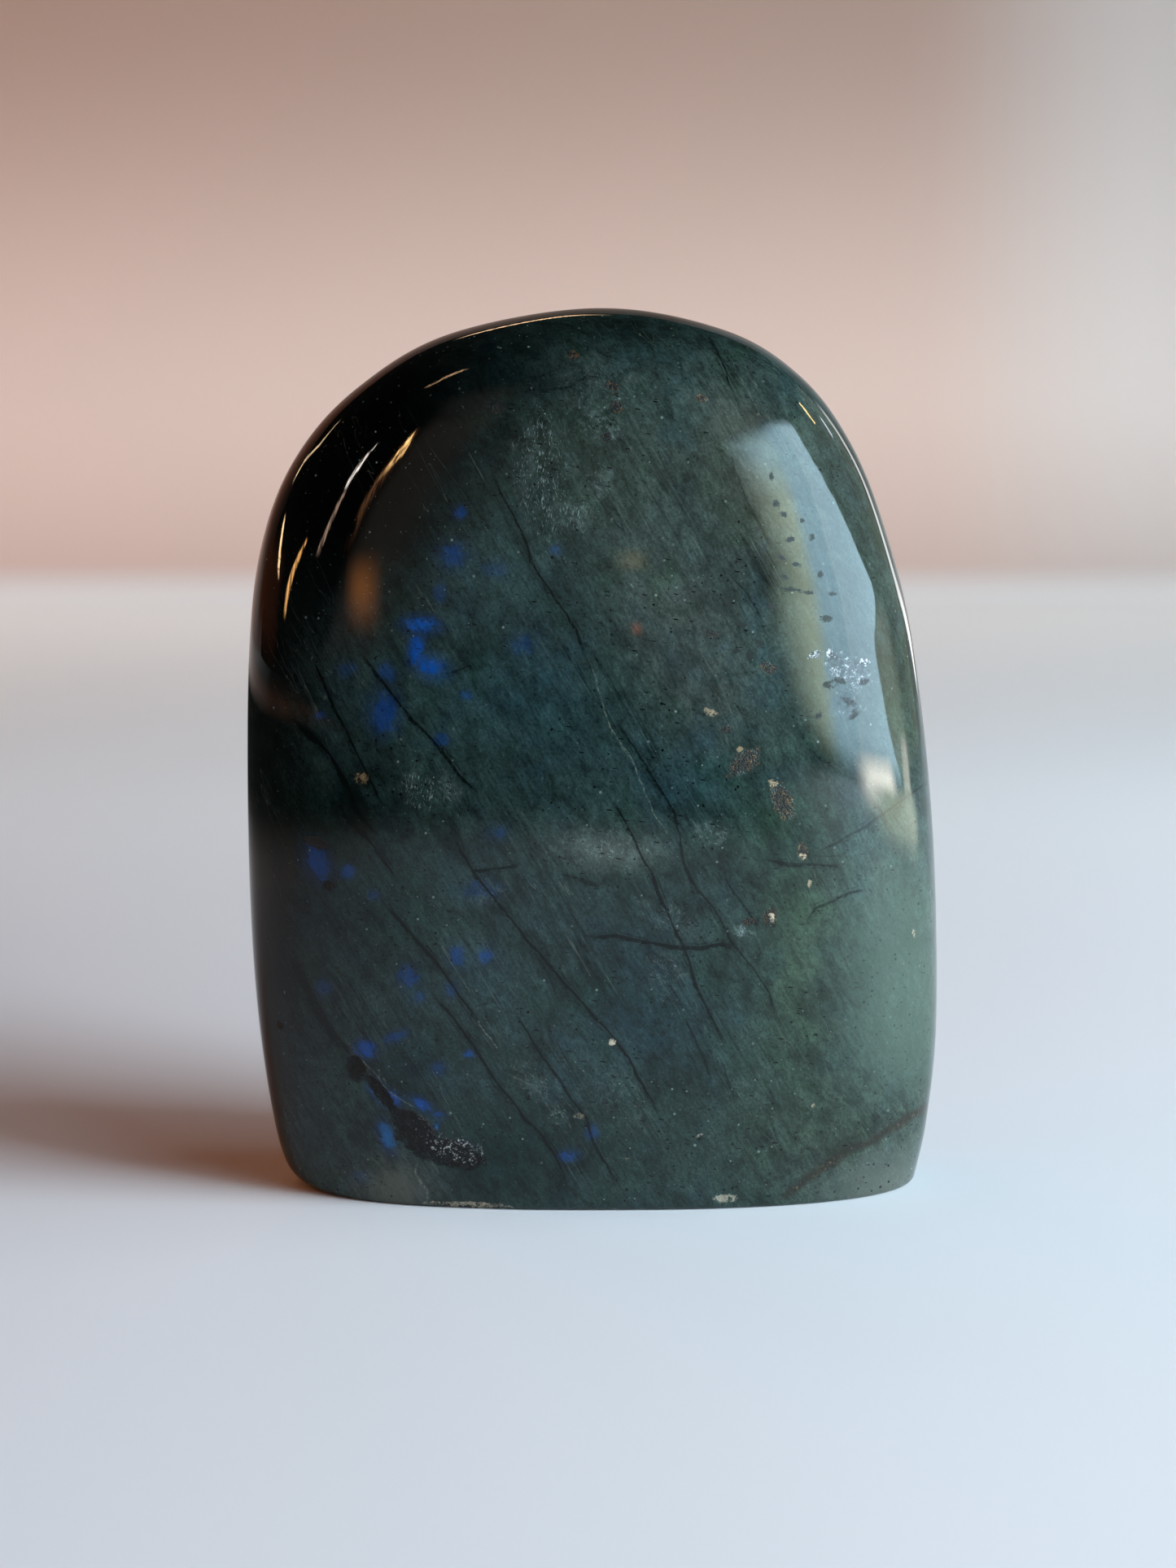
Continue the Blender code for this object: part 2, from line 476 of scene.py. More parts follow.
FLASHES = (
    Spot(517, 768, 22, 11, 5, 0.85, 0.1), Spot(511, 797, 10, 20, 8, 1.0), Spot(530, 820, 20, 14, 25, 1.0),
    Spot(472, 877, 19, 25, 0, 0.55, -0.5), Spot(557, 683, 20, 17, 0, 0.30), Spot(610, 700, 20, 11, 0, 0.12),
    Spot(565, 630, 9, 9, 0, 0.30), Spot(540, 727, 9, 14, 0, 0.16), Spot(683, 676, 9, 8, 0, 0.22),
    Spot(390, 1060, 16, 24, -20, 0.55, -0.2), Spot(427, 1072, 11, 9, 0, 0.45),
    Spot(475, 827, 15, 12, 30, 0.30), Spot(425, 823, 14, 10, 0, 0.16), Spot(543, 909, 11, 9, 0, 0.25),
    Spot(573, 855, 8, 6, 0, 0.25), Spot(643, 792, 18, 14, 0, 0.16), Spot(393, 880, 7, 5, 0, 0.35),
    Spot(611, 1024, 14, 10, 0, 0.20), Spot(590, 1094, 26, 15, 0, 0.17), Spot(562, 1175, 11, 13, 0, 0.42),
    Spot(596, 1174, 10, 11, 0, 0.42), Spot(501, 1201, 12, 14, 0, 0.40), Spot(514, 1226, 8, 8, 0, 0.30),
    Spot(397, 1215, 12, 12, 0, 0.22), Spot(449, 1290, 14, 11, 10, 0.80), Spot(485, 1275, 16, 8, -20, 0.30),
    Spot(577, 1295, 8, 5, 0, 0.60, 0.2), Spot(539, 1313, 11, 9, 0, 0.24), Spot(462, 1337, 12, 9, 40, 0.80),
    Spot(478, 1350, 16, 9, 20, 0.95, 0.1), Spot(518, 1357, 15, 7, 30, 0.85),
    Spot(538, 1370, 10, 5, 10, 0.55), Spot(537, 1384, 4, 4, 0, 1.0, 0.8),
    Spot(475, 1398, 9, 19, -22, 0.80, 0.7), Spot(699, 1420, 13, 8, 0, 0.42),
    Spot(728, 1392, 9, 10, 0, 0.32), Spot(445, 1447, 14, 10, 0, 0.14), Spot(555, 1216, 9, 11, 0, 0.22),
    Spot(460, 1100, 10, 7, 0, 0.18), Spot(660, 560, 26, 18, 20, 0.75, 0.1, Side.BACK),
    Spot(690, 600, 18, 12, 40, 1.0, 0.2, Side.BACK), Spot(870, 800, 40, 24, 60, 0.85, 0.0, Side.BACK),
    Spot(905, 850, 22, 16, 20, 1.0, 0.3, Side.BACK), Spot(560, 980, 34, 20, 65, 0.70, -0.2, Side.BACK),
    Spot(1010, 1080, 26, 40, 10, 0.60, 0.2, Side.BACK), Spot(760, 1180, 44, 20, 55, 0.85, 0.0, Side.BACK),
    Spot(800, 1230, 18, 12, 20, 0.95, 0.5, Side.BACK), Spot(520, 1300, 24, 18, 30, 0.50, 0.0, Side.BACK),
    Spot(950, 1360, 30, 16, 20, 0.70, -0.3, Side.BACK),
)
# Brown and black pits that the polish broke open: gain is how pale their crumbs are, tone how rusty they are.
PITS = (
    Spot(745, 536, 6, 7, 0, 0.1, 0.0), Spot(704, 437, 7, 7, 0, 0.2, 0.6),
    Spot(862, 489, 9, 5, 10, 0.3, 0.5), Spot(914, 937, 24, 13, -38, 0.3, 0.3),
    Spot(962, 985, 13, 27, -28, 0.4, 0.1), Spot(946, 1127, 9, 13, 0, 0.1, 0.7),
    Spot(921, 1133, 9, 6, 0, 0.1, 0.9), Spot(986, 1047, 7, 12, -10, 0.6, 0.4),
    Spot(893, 896, 7, 5, 0, 0.2, 0.7), Spot(753, 474, 10, 6, 20, 0.2, 0.1),
    Spot(758, 500, 8, 9, 0, 0.2, 0.1), Spot(610, 502, 11, 8, 0, 0.0, 0.0),
    Spot(436, 1318, 10, 13, -30, 0.0, 0.0), Spot(390, 1036, 18, 8, 20, 0.0, 0.0),
    Spot(404, 1089, 8, 6, 0, 0.0, 0.0), Spot(944, 821, 12, 7, 20, 0.2, 0.0),
    Spot(875, 780, 10, 5, 30, 0.1, 0.0), Spot(344, 1260, 4, 7, -30, 0.0, 0.0),
    Spot(820, 700, 16, 10, 30, 0.5, 0.6, Side.BACK), Spot(640, 1120, 12, 22, 20, 0.5, 0.5, Side.BACK),
    Spot(930, 1240, 10, 8, 0, 0.3, 0.7, Side.BACK),
)
# Small flat black nicks where the window is mirrored, and scattered black grains.
NICKS = (
    Spot(953, 619, 3, 4), Spot(963, 632, 4, 3, 20), Spot(971, 663, 5, 3, -20), Spot(998, 660, 3, 4),
    Spot(939, 674, 2.5, 5, 10), Spot(960, 685, 5, 2.5, 40), Spot(979, 694, 5, 2.5, 15),
    Spot(964, 708, 4, 2.5, 30), Spot(974, 725, 13, 2.2, 8), Spot(995, 728, 5, 2, 4),
    Spot(1023, 730, 5, 2.5), Spot(948, 585, 2.5, 4), Spot(985, 640, 3, 2.5), Spot(931, 650, 2.5, 3),
    Spot(1008, 706, 3, 4), Spot(948, 745, 4, 3), Spot(905, 800, 4, 3), Spot(897, 742, 3, 6, 10),
    Spot(912, 768, 4, 3), Spot(933, 790, 5, 3, 30), Spot(921, 806, 4, 5), Spot(1005, 880, 5, 3, -30),
    Spot(1024, 806, 6, 3, 20), Spot(1043, 862, 9, 4, 30), Spot(1061, 838, 6, 4, -20),
    Spot(1033, 836, 8, 4, 10), Spot(1016, 760, 7, 4, 0), Spot(1049, 880, 7, 3, -30),
    Spot(1016, 842, 5, 3, 30),
)
# Where the base's front edge is chipped, and crumbs of tan and cream feldspar.
EDGE_CHIPS = (
    Spot(577, 1481, 52, 4, 3, 0.6, 0.3), Spot(891, 1473, 15, 5, 0, 0.6, 0.0),
)
CRUMBS = (
    *EDGE_CHIPS, Spot(444, 957, 9, 9, 20, 0.5, 0.9), Spot(872, 875, 9, 5, 20, 0.7, 0.5),
    Spot(948, 1128, 4, 7, -10, 1.0, 0.3), Spot(987, 1053, 5, 4, 0, 1.0, 0.4),
    Spot(950, 963, 7, 5, 20, 0.8, 0.6), Spot(752, 1281, 5, 5, 0, 1.0, 0.1),
    Spot(505, 1373, 14, 6, 20, 0.5, 0.9), Spot(712, 1371, 9, 4, 0, 0.3, 0.4),
    Spot(747, 1425, 5, 2, 0, 0.5, 0.8), Spot(768, 1425, 7, 2, 0, 0.4, 0.7),
    Spot(999, 1359, 3, 3, 0, 0.6, 0.4), Spot(1123, 1147, 2, 7, 0, 0.6, 0.4),
    Spot(995, 1087, 3, 6, 0, 0.7, 0.5), Spot(860, 1395, 6, 2, -20, 0.6, 0.0),
    Spot(909, 921, 5, 4, 0, 0.7, 0.7),
)
# Where fine white feathers and strokes lie in the body: gain is how thick they are, tone how upright.
FEATHERS = (
    Spot(748, 1045, 66, 27, 5, 0.95, 0.3), Spot(875, 1025, 28, 20, 20, 0.8, 0.3),
    Spot(914, 1146, 17, 11, 20, 1.5, 0.3), Spot(668, 590, 40, 100, -6, 0.6, 1.0),
    Spot(738, 520, 32, 26, 0, 0.9, 0.3), Spot(708, 632, 26, 30, 0, 1.0, 0.6),
    Spot(740, 590, 24, 26, 0, 0.7, 0.3), Spot(517, 972, 26, 34, -30, 0.8, 1.0),
    Spot(552, 970, 22, 30, 10, 0.6, 0.3), Spot(660, 1330, 46, 22, 35, 0.55, 0.3),
    Spot(686, 1371, 16, 12, 0, 0.8, 0.3), Spot(828, 1128, 50, 22, 30, 0.5, 0.3),
    Spot(820, 1190, 30, 40, 0, 0.45, 0.3), Spot(745, 470, 80, 40, 0, 0.35, 0.3),
    Spot(604, 1100, 30, 20, 0, 0.3, 0.3), Spot(760, 1350, 60, 40, 30, 0.3, 0.3),
    Spot(700, 760, 90, 40, 60, 0.7, 0.6, Side.BACK), Spot(880, 1060, 60, 34, 20, 0.8, 0.3, Side.BACK),
)
# The rough black inclusion, the silvery one where the window is mirrored, and the painted glints of white
# sparkle on both.
ROUGH = (
    Spot(508, 1392, 38, 21, 48), Spot(552, 1418, 46, 17, 14), Spot(468, 1344, 32, 8, 52),
    Spot(438, 1310, 16, 9, 50),
)
SILVER = (Spot(1042, 824, 32, 18, 25, 0.7), Spot(1043, 868, 22, 14, 0, 0.4))
SPARKLE = (
    *SILVER, Spot(562, 1414, 32, 14, 12, 0.8), Spot(518, 1386, 22, 13, 40, 0.5),
    Spot(999, 806, 8, 3, -20, 1.0), Spot(1064, 814, 7, 4, 20, 1.2), Spot(1019, 802, 4, 4, 0, 1.3),
)

BODY_COLOUR = screen(37, 53, 52)
# Clouds of colour in the body. Most are the stone's own tones; the dark ones marked below are painted shade,
# where the top and the left of the stone get little light.
BODY_AND_SHADE_ZONES = (
    Zone(screen(47, 59, 54), 800, 560, 150, 120, 20, 0.9),
    Zone(screen(40, 52, 44), 690, 560, 60, 120, -10, 0.6),
    Zone(screen(60, 68, 64), 850, 800, 160, 78, 62, 0.85),
    Zone(screen(58, 61, 55), 935, 600, 60, 140, -20, 0.8),
    # Painted shade: the dark upper left, below the top.
    Zone(screen(10, 19, 17), 620, 450, 96, 84, 0, 0.85),
    Zone(screen(24, 36, 35), 650, 610, 44, 90, -20, 0.6),
    # Painted shade: the dark band along the top.
    Zone(screen(12, 25, 23), 760, 388, 280, 48, 0, 0.9),
    Zone(screen(31, 48, 52), 650, 730, 90, 60, 30, 0.5),
    Zone(screen(28, 52, 58), 640, 860, 120, 60, 20, 0.5),
    Zone(screen(26, 48, 54), 860, 960, 70, 50, 10, 0.6),
    # Painted shade: the black upper left, turned away from the light.
    Zone(screen(1, 2, 2), 448, 572, 268, 146, 119, 1.0, Side.FRONT, 4.0),
    # Painted shade: the black left edge, and the dark left side below the middle.
    Zone(screen(3, 5, 4), 318, 800, 60, 220, 0, 0.9), Zone(screen(6, 22, 18), 396, 1020, 84, 98, 20, 0.9),
    Zone(screen(34, 47, 44), 860, 1410, 190, 70, 0, 0.75),
    # The second zone here is painted shade: the black left edge lower down.
    Zone(screen(30, 46, 44), 925, 985, 54, 54, 0, 0.6), Zone(screen(4, 6, 6), 330, 1200, 52, 230, 0, 0.85),
    Zone(screen(22, 46, 46), 480, 1140, 70, 90, 0, 0.5),
    Zone(screen(26, 50, 56), 790, 1240, 90, 70, 10, 0.6),
    Zone(screen(40, 60, 62), 610, 1200, 50, 90, 0, 0.6),
    Zone(screen(4, 29, 28), 600, 1420, 120, 60, 0, 0.8),
    Zone(screen(3, 32, 36), 500, 1320, 50, 60, 40, 0.6),
    Zone(screen(46, 62, 50), 985, 1180, 70, 200, 0, 0.9),
    Zone(screen(75, 91, 82), 1110, 1220, 80, 190, 0, 0.95),
    Zone(screen(52, 66, 55), 1010, 1390, 110, 70, 0, 0.7),
    Zone(screen(30, 50, 40), 960, 1040, 60, 44, 0, 0.6),
    Zone(screen(40, 44, 40), 1060, 820, 60, 150, -8, 0.7),
    Zone(screen(34, 32, 28), 1100, 560, 60, 200, -20, 0.7),
    Zone(screen(82, 90, 84), 748, 1045, 60, 22, 5, 0.6),
    Zone(screen(80, 84, 76), 488, 1462, 46, 36, 0, 0.95),
    Zone(screen(84, 90, 84), 1098, 1455, 84, 44, -14, 0.95),
    Zone(screen(30, 36, 30), 1040, 1405, 90, 20, -26, 0.75),
    Zone(screen(84, 104, 96), 620, 1200, 150, 200, 0, 0.8, Side.BACK),
    Zone(screen(28, 50, 62), 900, 760, 170, 200, 20, 0.8, Side.BACK),
    Zone(screen(26, 36, 36), 640, 620, 160, 170, 0, 0.7, Side.BACK),
    Zone(screen(62, 92, 80), 980, 1240, 130, 160, 0, 0.7, Side.BACK),
)


@dataclass(frozen=True)
class StoneFields:
    """The marks as numbers at the vertices: the attributes that the finish reads, and the relief of the form.

    The sinks and grains are depths in millimetres: every vertex of a mark lies its sink deep, and by chance
    up to its grain deeper.
    """

    marks: MarkMap
    lowest_cone: float = -4.0
    rough_sink: float = 0.14
    rough_grain: float = 0.16
    silver_grain: float = 0.06
    chip_grain: float = 0.35

    def lines(self, group: Sequence[Line]) -> np.ndarray:
        """The nearest line of a group at each vertex.

        Args:
            group: lines that keep at least 3 mm apart.

        Returns:
            For each vertex the signed distance, the strength and the half width.
        """
        found = [line.measure(self.marks) for line in group]
        distance = np.stack([f[0] for f in found])
        strength = np.stack([f[1] for f in found])
        pick = np.abs(distance).argmin(axis=0)[None]
        widths = np.array([line.half_width for line in group])[pick[0]]
        near = np.take_along_axis(distance, pick, 0)[0]
        return np.stack([near, np.take_along_axis(strength, pick, 0)[0], widths], axis=-1)

    def spots(self, group: Sequence[Spot]) -> np.ndarray:
        """For each vertex the tallest cone of a group of spots, its gain and its tone."""
        return np.stack(tallest(group, self.marks), axis=-1)

    def small_spots(self, name: str, group: Sequence[Spot]) -> dict[str, np.ndarray]:
        """The nearest of a group of spots that are too small for the mesh to draw.

        Args:
            name: the group's name.
            group: the spots.

        Returns:
            Under the name the spot's gain and tone, and under name_offset the offset from its middle, as
            shares of its radii, and its cone.
        """
        cones = np.stack([spot.cone(self.marks) for spot in group])
        offsets = np.stack([np.stack(spot.offset(self.marks), axis=-1) for spot in group])
        best = cones.argmax(axis=0)
        near = np.take_along_axis(offsets, best[None, ..., None], 0)[0]
        gain, tone = np.array([s.gain for s in group])[best], np.array([s.tone for s in group])[best]
        height = np.maximum(cones.max(axis=0), self.lowest_cone)
        return {name: np.stack([gain, tone, 0 * gain], -1), name + "_offset": np.dstack([near, height])}

    def body(self) -> np.ndarray:
        """The body's colour at each vertex: the plain one, with each zone's mixed in by its weight, painted
        shade among them.
        """
        colour = np.broadcast_to(np.array(BODY_COLOUR), (*self.marks.column.shape, 3)).copy()
        for zone in BODY_AND_SHADE_ZONES:
            weight = np.clip(zone.weight(self.marks), 0.0, 1.0)[..., None]
            colour = colour * (1.0 - weight) + np.array(zone.colour) * weight
        return colour

    def vectors(self) -> dict[str, np.ndarray]:
        """Every attribute of three numbers, by name."""
        return {
            "steep_lines": self.lines(STEEP_LINES),
            "other_steep_lines": self.lines(OTHER_STEEP_LINES),
            "crossing_lines": self.lines(CROSSING_LINES),
            "pale_lines": self.lines(PALE_LINES),
            "rust_vein": self.lines((RUST_VEIN,)),
            "flashes": self.spots(FLASHES),
            "feathers": self.spots(FEATHERS),
            "rough": self.spots(ROUGH),
            **self.small_spots("pits", PITS),
            **self.small_spots("nicks", NICKS),
            **self.small_spots("crumbs", CRUMBS),
            **self.small_spots("sparkle", SPARKLE),
        }

    def relief(self, chance: np.random.Generator) -> np.ndarray:
        """How far in the surface lies at each vertex: the rough inclusion and the chips are sunk and grainy.

        Args:
            chance: the generator of the grain, started from a fixed seed.

        Returns:
            The depth in millimetres.
        """
        grain = chance.random(self.marks.column.shape)
        rough = smooth(-0.05, 0.25, self.spots(ROUGH)[..., 0])
        silver = smooth(0.0, 0.4, self.spots(SILVER)[..., 0])
        chips = smooth(-0.2, 0.5, self.spots(EDGE_CHIPS)[..., 0])
        rough_depth = rough * (self.rough_sink + self.rough_grain * grain)
        return rough_depth + (silver * self.silver_grain + chips * self.chip_grain) * grain


@dataclass(frozen=True)
class LabradoriteStone:
    """The stone: its form on a grid of rings, closed by a flat base and an apex, with its marks on it.

    The base's rings are shares of the way out from its middle. The grinding lines follow the outline: their
    pattern runs round on a circle of radius grind_turn, and up by grind_rise from the base to the apex.
    """

    form: StoneForm = field(default_factory=StoneForm)
    camera: PhotoCamera = field(default_factory=PhotoCamera)
    front_columns: int = 306
    back_columns: int = 104
    roll_rows: int = 6
    wall_rows: int = 226
    base_rings: tuple[float, ...] = (0.35, 0.7, 0.97)
    arc_steps: int = 2001
    ripple: float = 0.012
    grind_turn: float = 30.0
    grind_rise: float = 3.0
    seed: int = 7

    def turns(self) -> np.ndarray:
        """The ring's directions, even along the arc of the section at mid height, and closer on the front."""
        parts = []
        for begin, count in ((0.0, self.back_columns), (math.pi, self.front_columns)):
            fine = np.linspace(begin, begin + math.pi, self.arc_steps)
            ring = self.form.point(fine, np.full(fine.shape, self.form.height / 2))
            steps = np.linalg.norm(np.diff(ring, axis=0), axis=1)
            travelled = np.concatenate([[0.0], np.cumsum(steps)])
            parts.append(np.interp(np.arange(count) / count * travelled[-1], travelled, fine))
        return np.concatenate(parts)

    def grid(self) -> np.ndarray:
        """The rings from the base's middle out, round its rolled edge and up the wall.

        The roll is a quarter circle: a point at bend b stands r(1 - cos b) up and r(1 - sin b) in from the
        wall. The wall's rows are even along the left edge's curve.

        Returns:
            The points by row and column, with x, y and z last.
        """
        form, turn = self.form, self.turns()
        radius = form.roll(turn)
        bend = (np.arange(self.roll_rows) / self.roll_rows * math.pi / 2)[:, None]
        all_turns = np.broadcast_to(turn, (self.roll_rows, turn.size))
        wall = form.point(all_turns, radius * (1 - np.cos(bend)))
        out = (wall - [0.0, form.widest_y, 0.0]) * [1.0, 1.0, 0.0]
        out /= np.linalg.norm(out, axis=-1, keepdims=True)
        roll = wall - out * (radius * (1 - np.sin(bend)))[..., None]
        middle = roll[0].mean(axis=0)
        base = np.stack([middle + (roll[0] - middle) * share for share in self.base_rings])
        edge = form.edges()["left"]
        travelled = np.concatenate([[0.0], np.cumsum(np.linalg.norm(np.diff(edge, axis=0), axis=1))])
        share = np.arange(self.wall_rows)[:, None] / self.wall_rows
        level = np.interp(share * travelled[-1], travelled, edge[:, 1])
        rise = radius + level * (form.height - radius) / form.height
        return np.concatenate([base, roll, form.point(np.broadcast_to(turn, rise.shape), rise)])

    def outward(self, grid: np.ndarray) -> np.ndarray:
        """The grid's outward unit normals: the step round the ring crossed with the step up to the next."""
        across = np.roll(grid, -1, axis=1) - np.roll(grid, 1, axis=1)
        normal = np.cross(across, np.gradient(grid, axis=0))
        return normal / np.maximum(np.linalg.norm(normal, axis=-1, keepdims=True), LEAST_LENGTH)

    def mesh(self) -> bpy.types.Mesh:
        """The closed mesh with its attributes.

        Each vertex is moved in along its normal by the relief, and by a faint ripple of the polish: three
        sines of its place. A fan closes the base's middle and another the apex.

        Returns:
            The mesh, in metres.
        """
        grid = self.grid()
        fields = StoneFields(MarkMap.of(grid, self.form, self.camera))
        x, y, z = np.moveaxis(grid, -1, 0)
        wave = np.sin(x / 3.1 + z / 9.0) + np.sin(z / 2.3 - x / 7.0) + np.sin((x + y) / 1.7 + z / 5.0)
        depth = fields.relief(np.random.default_rng(self.seed)) + self.ripple * (wave + 3.0) / 6.0
        depth[: len(self.base_rings) + 1] = 0.0
        grid = grid - self.outward(grid) * depth[..., None]
        rows, columns = grid.shape[:2]
        below = np.array([grid[0].mean(axis=0)])
        apex = np.array([[self.form.apex_x, self.form.widest_y, self.form.height]])
        ring = np.arange(columns)
        beside, last, foot = np.roll(ring, -1), (rows - 1) * columns, np.full(columns, rows * columns)
        fans = np.concatenate([
            np.stack([foot, beside, ring], axis=-1),
            np.stack([ring + last, beside + last, foot + 1], axis=-1),
        ])
        mesh = bpy.data.meshes.new("labradorite")
        points = np.concatenate([grid.reshape(-1, 3), below, apex]) * MM
        mesh.from_pydata(points.tolist(), [], grid_faces(rows, columns, True).tolist() + fans.tolist())
        self.keep(mesh, fields)
        mesh.shade_smooth()
        return mesh

    def meridian(self) -> np.ndarray:
        """Round the ring on a circle, about 1 for every millimetre, and up slowly, for the grinding lines."""
        turn, rows = self.turns(), len(self.base_rings) + self.roll_rows + self.wall_rows
        rise = np.linspace(0.0, self.grind_rise, rows)[:, None]
        places = (np.cos(turn) * self.grind_turn, np.sin(turn) * self.grind_turn, rise)
        return np.stack(np.broadcast_arrays(*places), axis=-1)

    def keep(self, mesh: bpy.types.Mesh, fields: StoneFields) -> None:
        """Writes the fields to the mesh as vertex attributes. The two end points copy a neighbour's values.

        Args:
            mesh: the mesh, whose vertices are the grid's and then the base's middle and the apex.
            fields: the marks at the grid's points.
        """
        for name, values in {**fields.vectors(), "meridian": self.meridian()}.items():
            flat = np.concatenate([values.reshape(-1, 3), values[0, :1], values[-1, :1]])
            mesh.attributes.new(name, "FLOAT_VECTOR", "POINT").data.foreach_set("vector", flat.ravel())
        # The body colour holds the painted shade of the dark zones.
        body = fields.body()
        flat = np.concatenate([body.reshape(-1, 3), body[0, :1], body[-1, :1]])
        flat = np.column_stack([flat, np.ones(len(flat))])
        mesh.attributes.new("body", "FLOAT_COLOR", "POINT").data.foreach_set("color", flat.ravel())

    def build(self) -> bpy.types.Object:
        """Makes the stone's object at the origin.

        Returns:
            The object, not yet dressed.
        """
        stone = bpy.data.objects.new("labradorite", self.mesh())
        bpy.context.scene.collection.objects.link(stone)
        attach(stone, "root")
        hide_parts(STONE_NODE)
        return stone

    def dress(self, stone: bpy.types.Object) -> None:
        """Gives the stone its finish."""
        stone.data.materials.append(LabradoriteFinish().material())


class Value:
    """A number socket in a material. Python's operators on it add Math nodes."""

    def __init__(self, bench: Bench, socket: bpy.types.NodeSocket) -> None:
        """Keeps the bench that adds nodes, and the socket."""
        self.bench = bench
        self.socket = socket

    def _join(self, operation: str, *others: Any) -> Value:
        """Adds a Math node with this socket first."""
        return self.bench.math(operation, self, *others)

    def __add__(self, other: Any) -> Value:
        """This plus other."""
        return self._join("ADD", other)

    def __radd__(self, other: Any) -> Value:
        """Other plus this."""
        return self._join("ADD", other)

    def __sub__(self, other: Any) -> Value:
        """This minus other."""
        return self._join("SUBTRACT", other)

    def __rsub__(self, other: Any) -> Value:
        """Other minus this."""
        return self.bench.math("SUBTRACT", other, self)

    def __mul__(self, other: Any) -> Value:
        """This times other."""
        return self._join("MULTIPLY", other)

    def __rmul__(self, other: Any) -> Value:
        """Other times this."""
        return self._join("MULTIPLY", other)

    def __abs__(self) -> Value:
        """This without its sign."""
        return self._join("ABSOLUTE")

    def at_most(self, other: Any) -> Value:
        """The smaller of this and other."""
        return self._join("MINIMUM", other)

    def at_least(self, other: Any) -> Value:
        """The larger of this and other."""
        return self._join("MAXIMUM", other)

    def rise(self, low: Any, high: Any) -> Value:
        """0 at low and 1 at high, smoothly between: a Map Range node's smooth step, which may also fall."""
        settings = {"interpolation_type": "SMOOTHSTEP"}
        node = self.bench.node("ShaderNodeMapRange", settings, Value=self, From_Min=low, From_Max=high)
        return Value(self.bench, node.outputs[0])


class Bench:
    """Adds nodes to one material or world."""

    def __init__(self, owner: bpy.types.ID) -> None:
        """Empties the node tree of a new material or world."""
        self.owner = owner
        owner.use_nodes = True
        self.tree = owner.node_tree
        self.tree.nodes.clear()

    def node(self, kind: str, settings: dict[str, Any] | None = None, **inputs: Any) -> bpy.types.Node:
        """Adds a node.

        Args:
            kind: the node's type.
            settings: its properties, which are set before its sockets.
            **inputs: values or sockets by the input's name, with _ for a space, or input_3 for the one at
                place 3.

        Returns:
            The node.
        """
        node = self.tree.nodes.new(kind)
        for key, value in (settings or {}).items():
            setattr(node, key, value)
        for key, value in inputs.items():
            number = key.removeprefix("input_")
            place = int(number) if number.isdigit() else key.replace("_", " ")
            self.feed(node.inputs[place], value)
        return node

    def feed(self, socket: bpy.types.NodeSocket, value: Any) -> None:
        """Links a socket or a Value to an input, or sets its number, vector or colour."""
        value = value.socket if isinstance(value, Value) else value
        if isinstance(value, bpy.types.NodeSocket):
            self.tree.links.new(value, socket)
        elif socket.type == "RGBA":
            socket.default_value = (*value, 1.0)
        else:
            socket.default_value = value

    def math(self, operation: str, *terms: Any) -> Value:
        """Adds a Math node for the terms."""
        node = self.node("ShaderNodeMath", {"operation": operation})
        for place, term in enumerate(terms):
            self.feed(node.inputs[place], term)
        return Value(self, node.outputs[0])

    def attribute(self, name: str) -> tuple[Value, Value, Value]:
        """The three numbers of a vector attribute of the mesh."""
        return self.parts(self.attribute_socket(name, "Vector"))

    def attribute_socket(self, name: str, kind: str) -> bpy.types.NodeSocket:
        """An attribute of the mesh as a Vector, a Color or a Fac."""
        return self.node("ShaderNodeAttribute", {"attribute_name": name}).outputs[kind]

    def parts(self, vector: bpy.types.NodeSocket) -> tuple[Value, Value, Value]:
        """The three numbers of a vector."""
        return tuple(Value(self, s) for s in self.node("ShaderNodeSeparateXYZ", Vector=vector).outputs)

    def stretch(self, vector: Any, scale: Sequence[float]) -> bpy.types.NodeSocket:
        """A vector times a scale along each axis."""
        settings = {"operation": "MULTIPLY"}
        return self.node("ShaderNodeVectorMath", settings, input_0=vector, input_1=scale).outputs[0]

    def mix(self, share: Any, first: Any, second: Any, blend: str = "MIX") -> bpy.types.NodeSocket:
        """The first colour with a share of the second laid over it."""
        settings = {"data_type": "RGBA", "blend_type": blend}
        return self.node("ShaderNodeMix", settings, input_0=share, input_6=first, input_7=second).outputs[2]

    def place(self, turn: Point = (0.0, 0.0, 0.0), scale: Point = (1.0, 1.0, 1.0)) -> bpy.types.NodeSocket:
        """The object's coordinates in millimetres, turned and then scaled.

        Args:
            turn: the turn about each axis, in radians.
            scale: how many units of the pattern a millimetre is, along each turned axis.

        Returns:
            The vector.
        """
        plain = self.node("ShaderNodeTexCoord").outputs["Object"]
        settings = {"rotation_type": "EULER_XYZ"}
        turned = self.node("ShaderNodeVectorRotate", settings, Vector=plain, Rotation=turn).outputs[0]
        return self.stretch(turned, [s / MM for s in scale])

    def noise(self, vector: Any, scale: float = 1.0, detail: float = 4.0, rough: float = 0.55,
              bend: float = 0.0) -> Value:
        """Smooth noise from about 0.2 to 0.8.

        Args:
            vector: where it is read.
            scale: its frequency in the vector's units.
            detail: how many finer layers it has.
            rough: how strong each finer layer is.
            bend: how far it is distorted by itself.

        Returns:
            The noise.
        """
        node = self.node("ShaderNodeTexNoise", Vector=vector, Scale=scale, Detail=detail, Roughness=rough,
                         Distortion=bend)
        return Value(self, node.outputs[0])

    def cells(self, vector: Any, scale: float) -> tuple[Value, Value]:
        """A field of seeds: the distance to the nearest one, and that seed's own number from 0 to 1."""
        node = self.node("ShaderNodeTexVoronoi", Vector=vector, Scale=scale)
        own = self.node("ShaderNodeSeparateColor", Color=node.outputs["Color"]).outputs[0]
        return Value(self, node.outputs["Distance"]), Value(self, own)


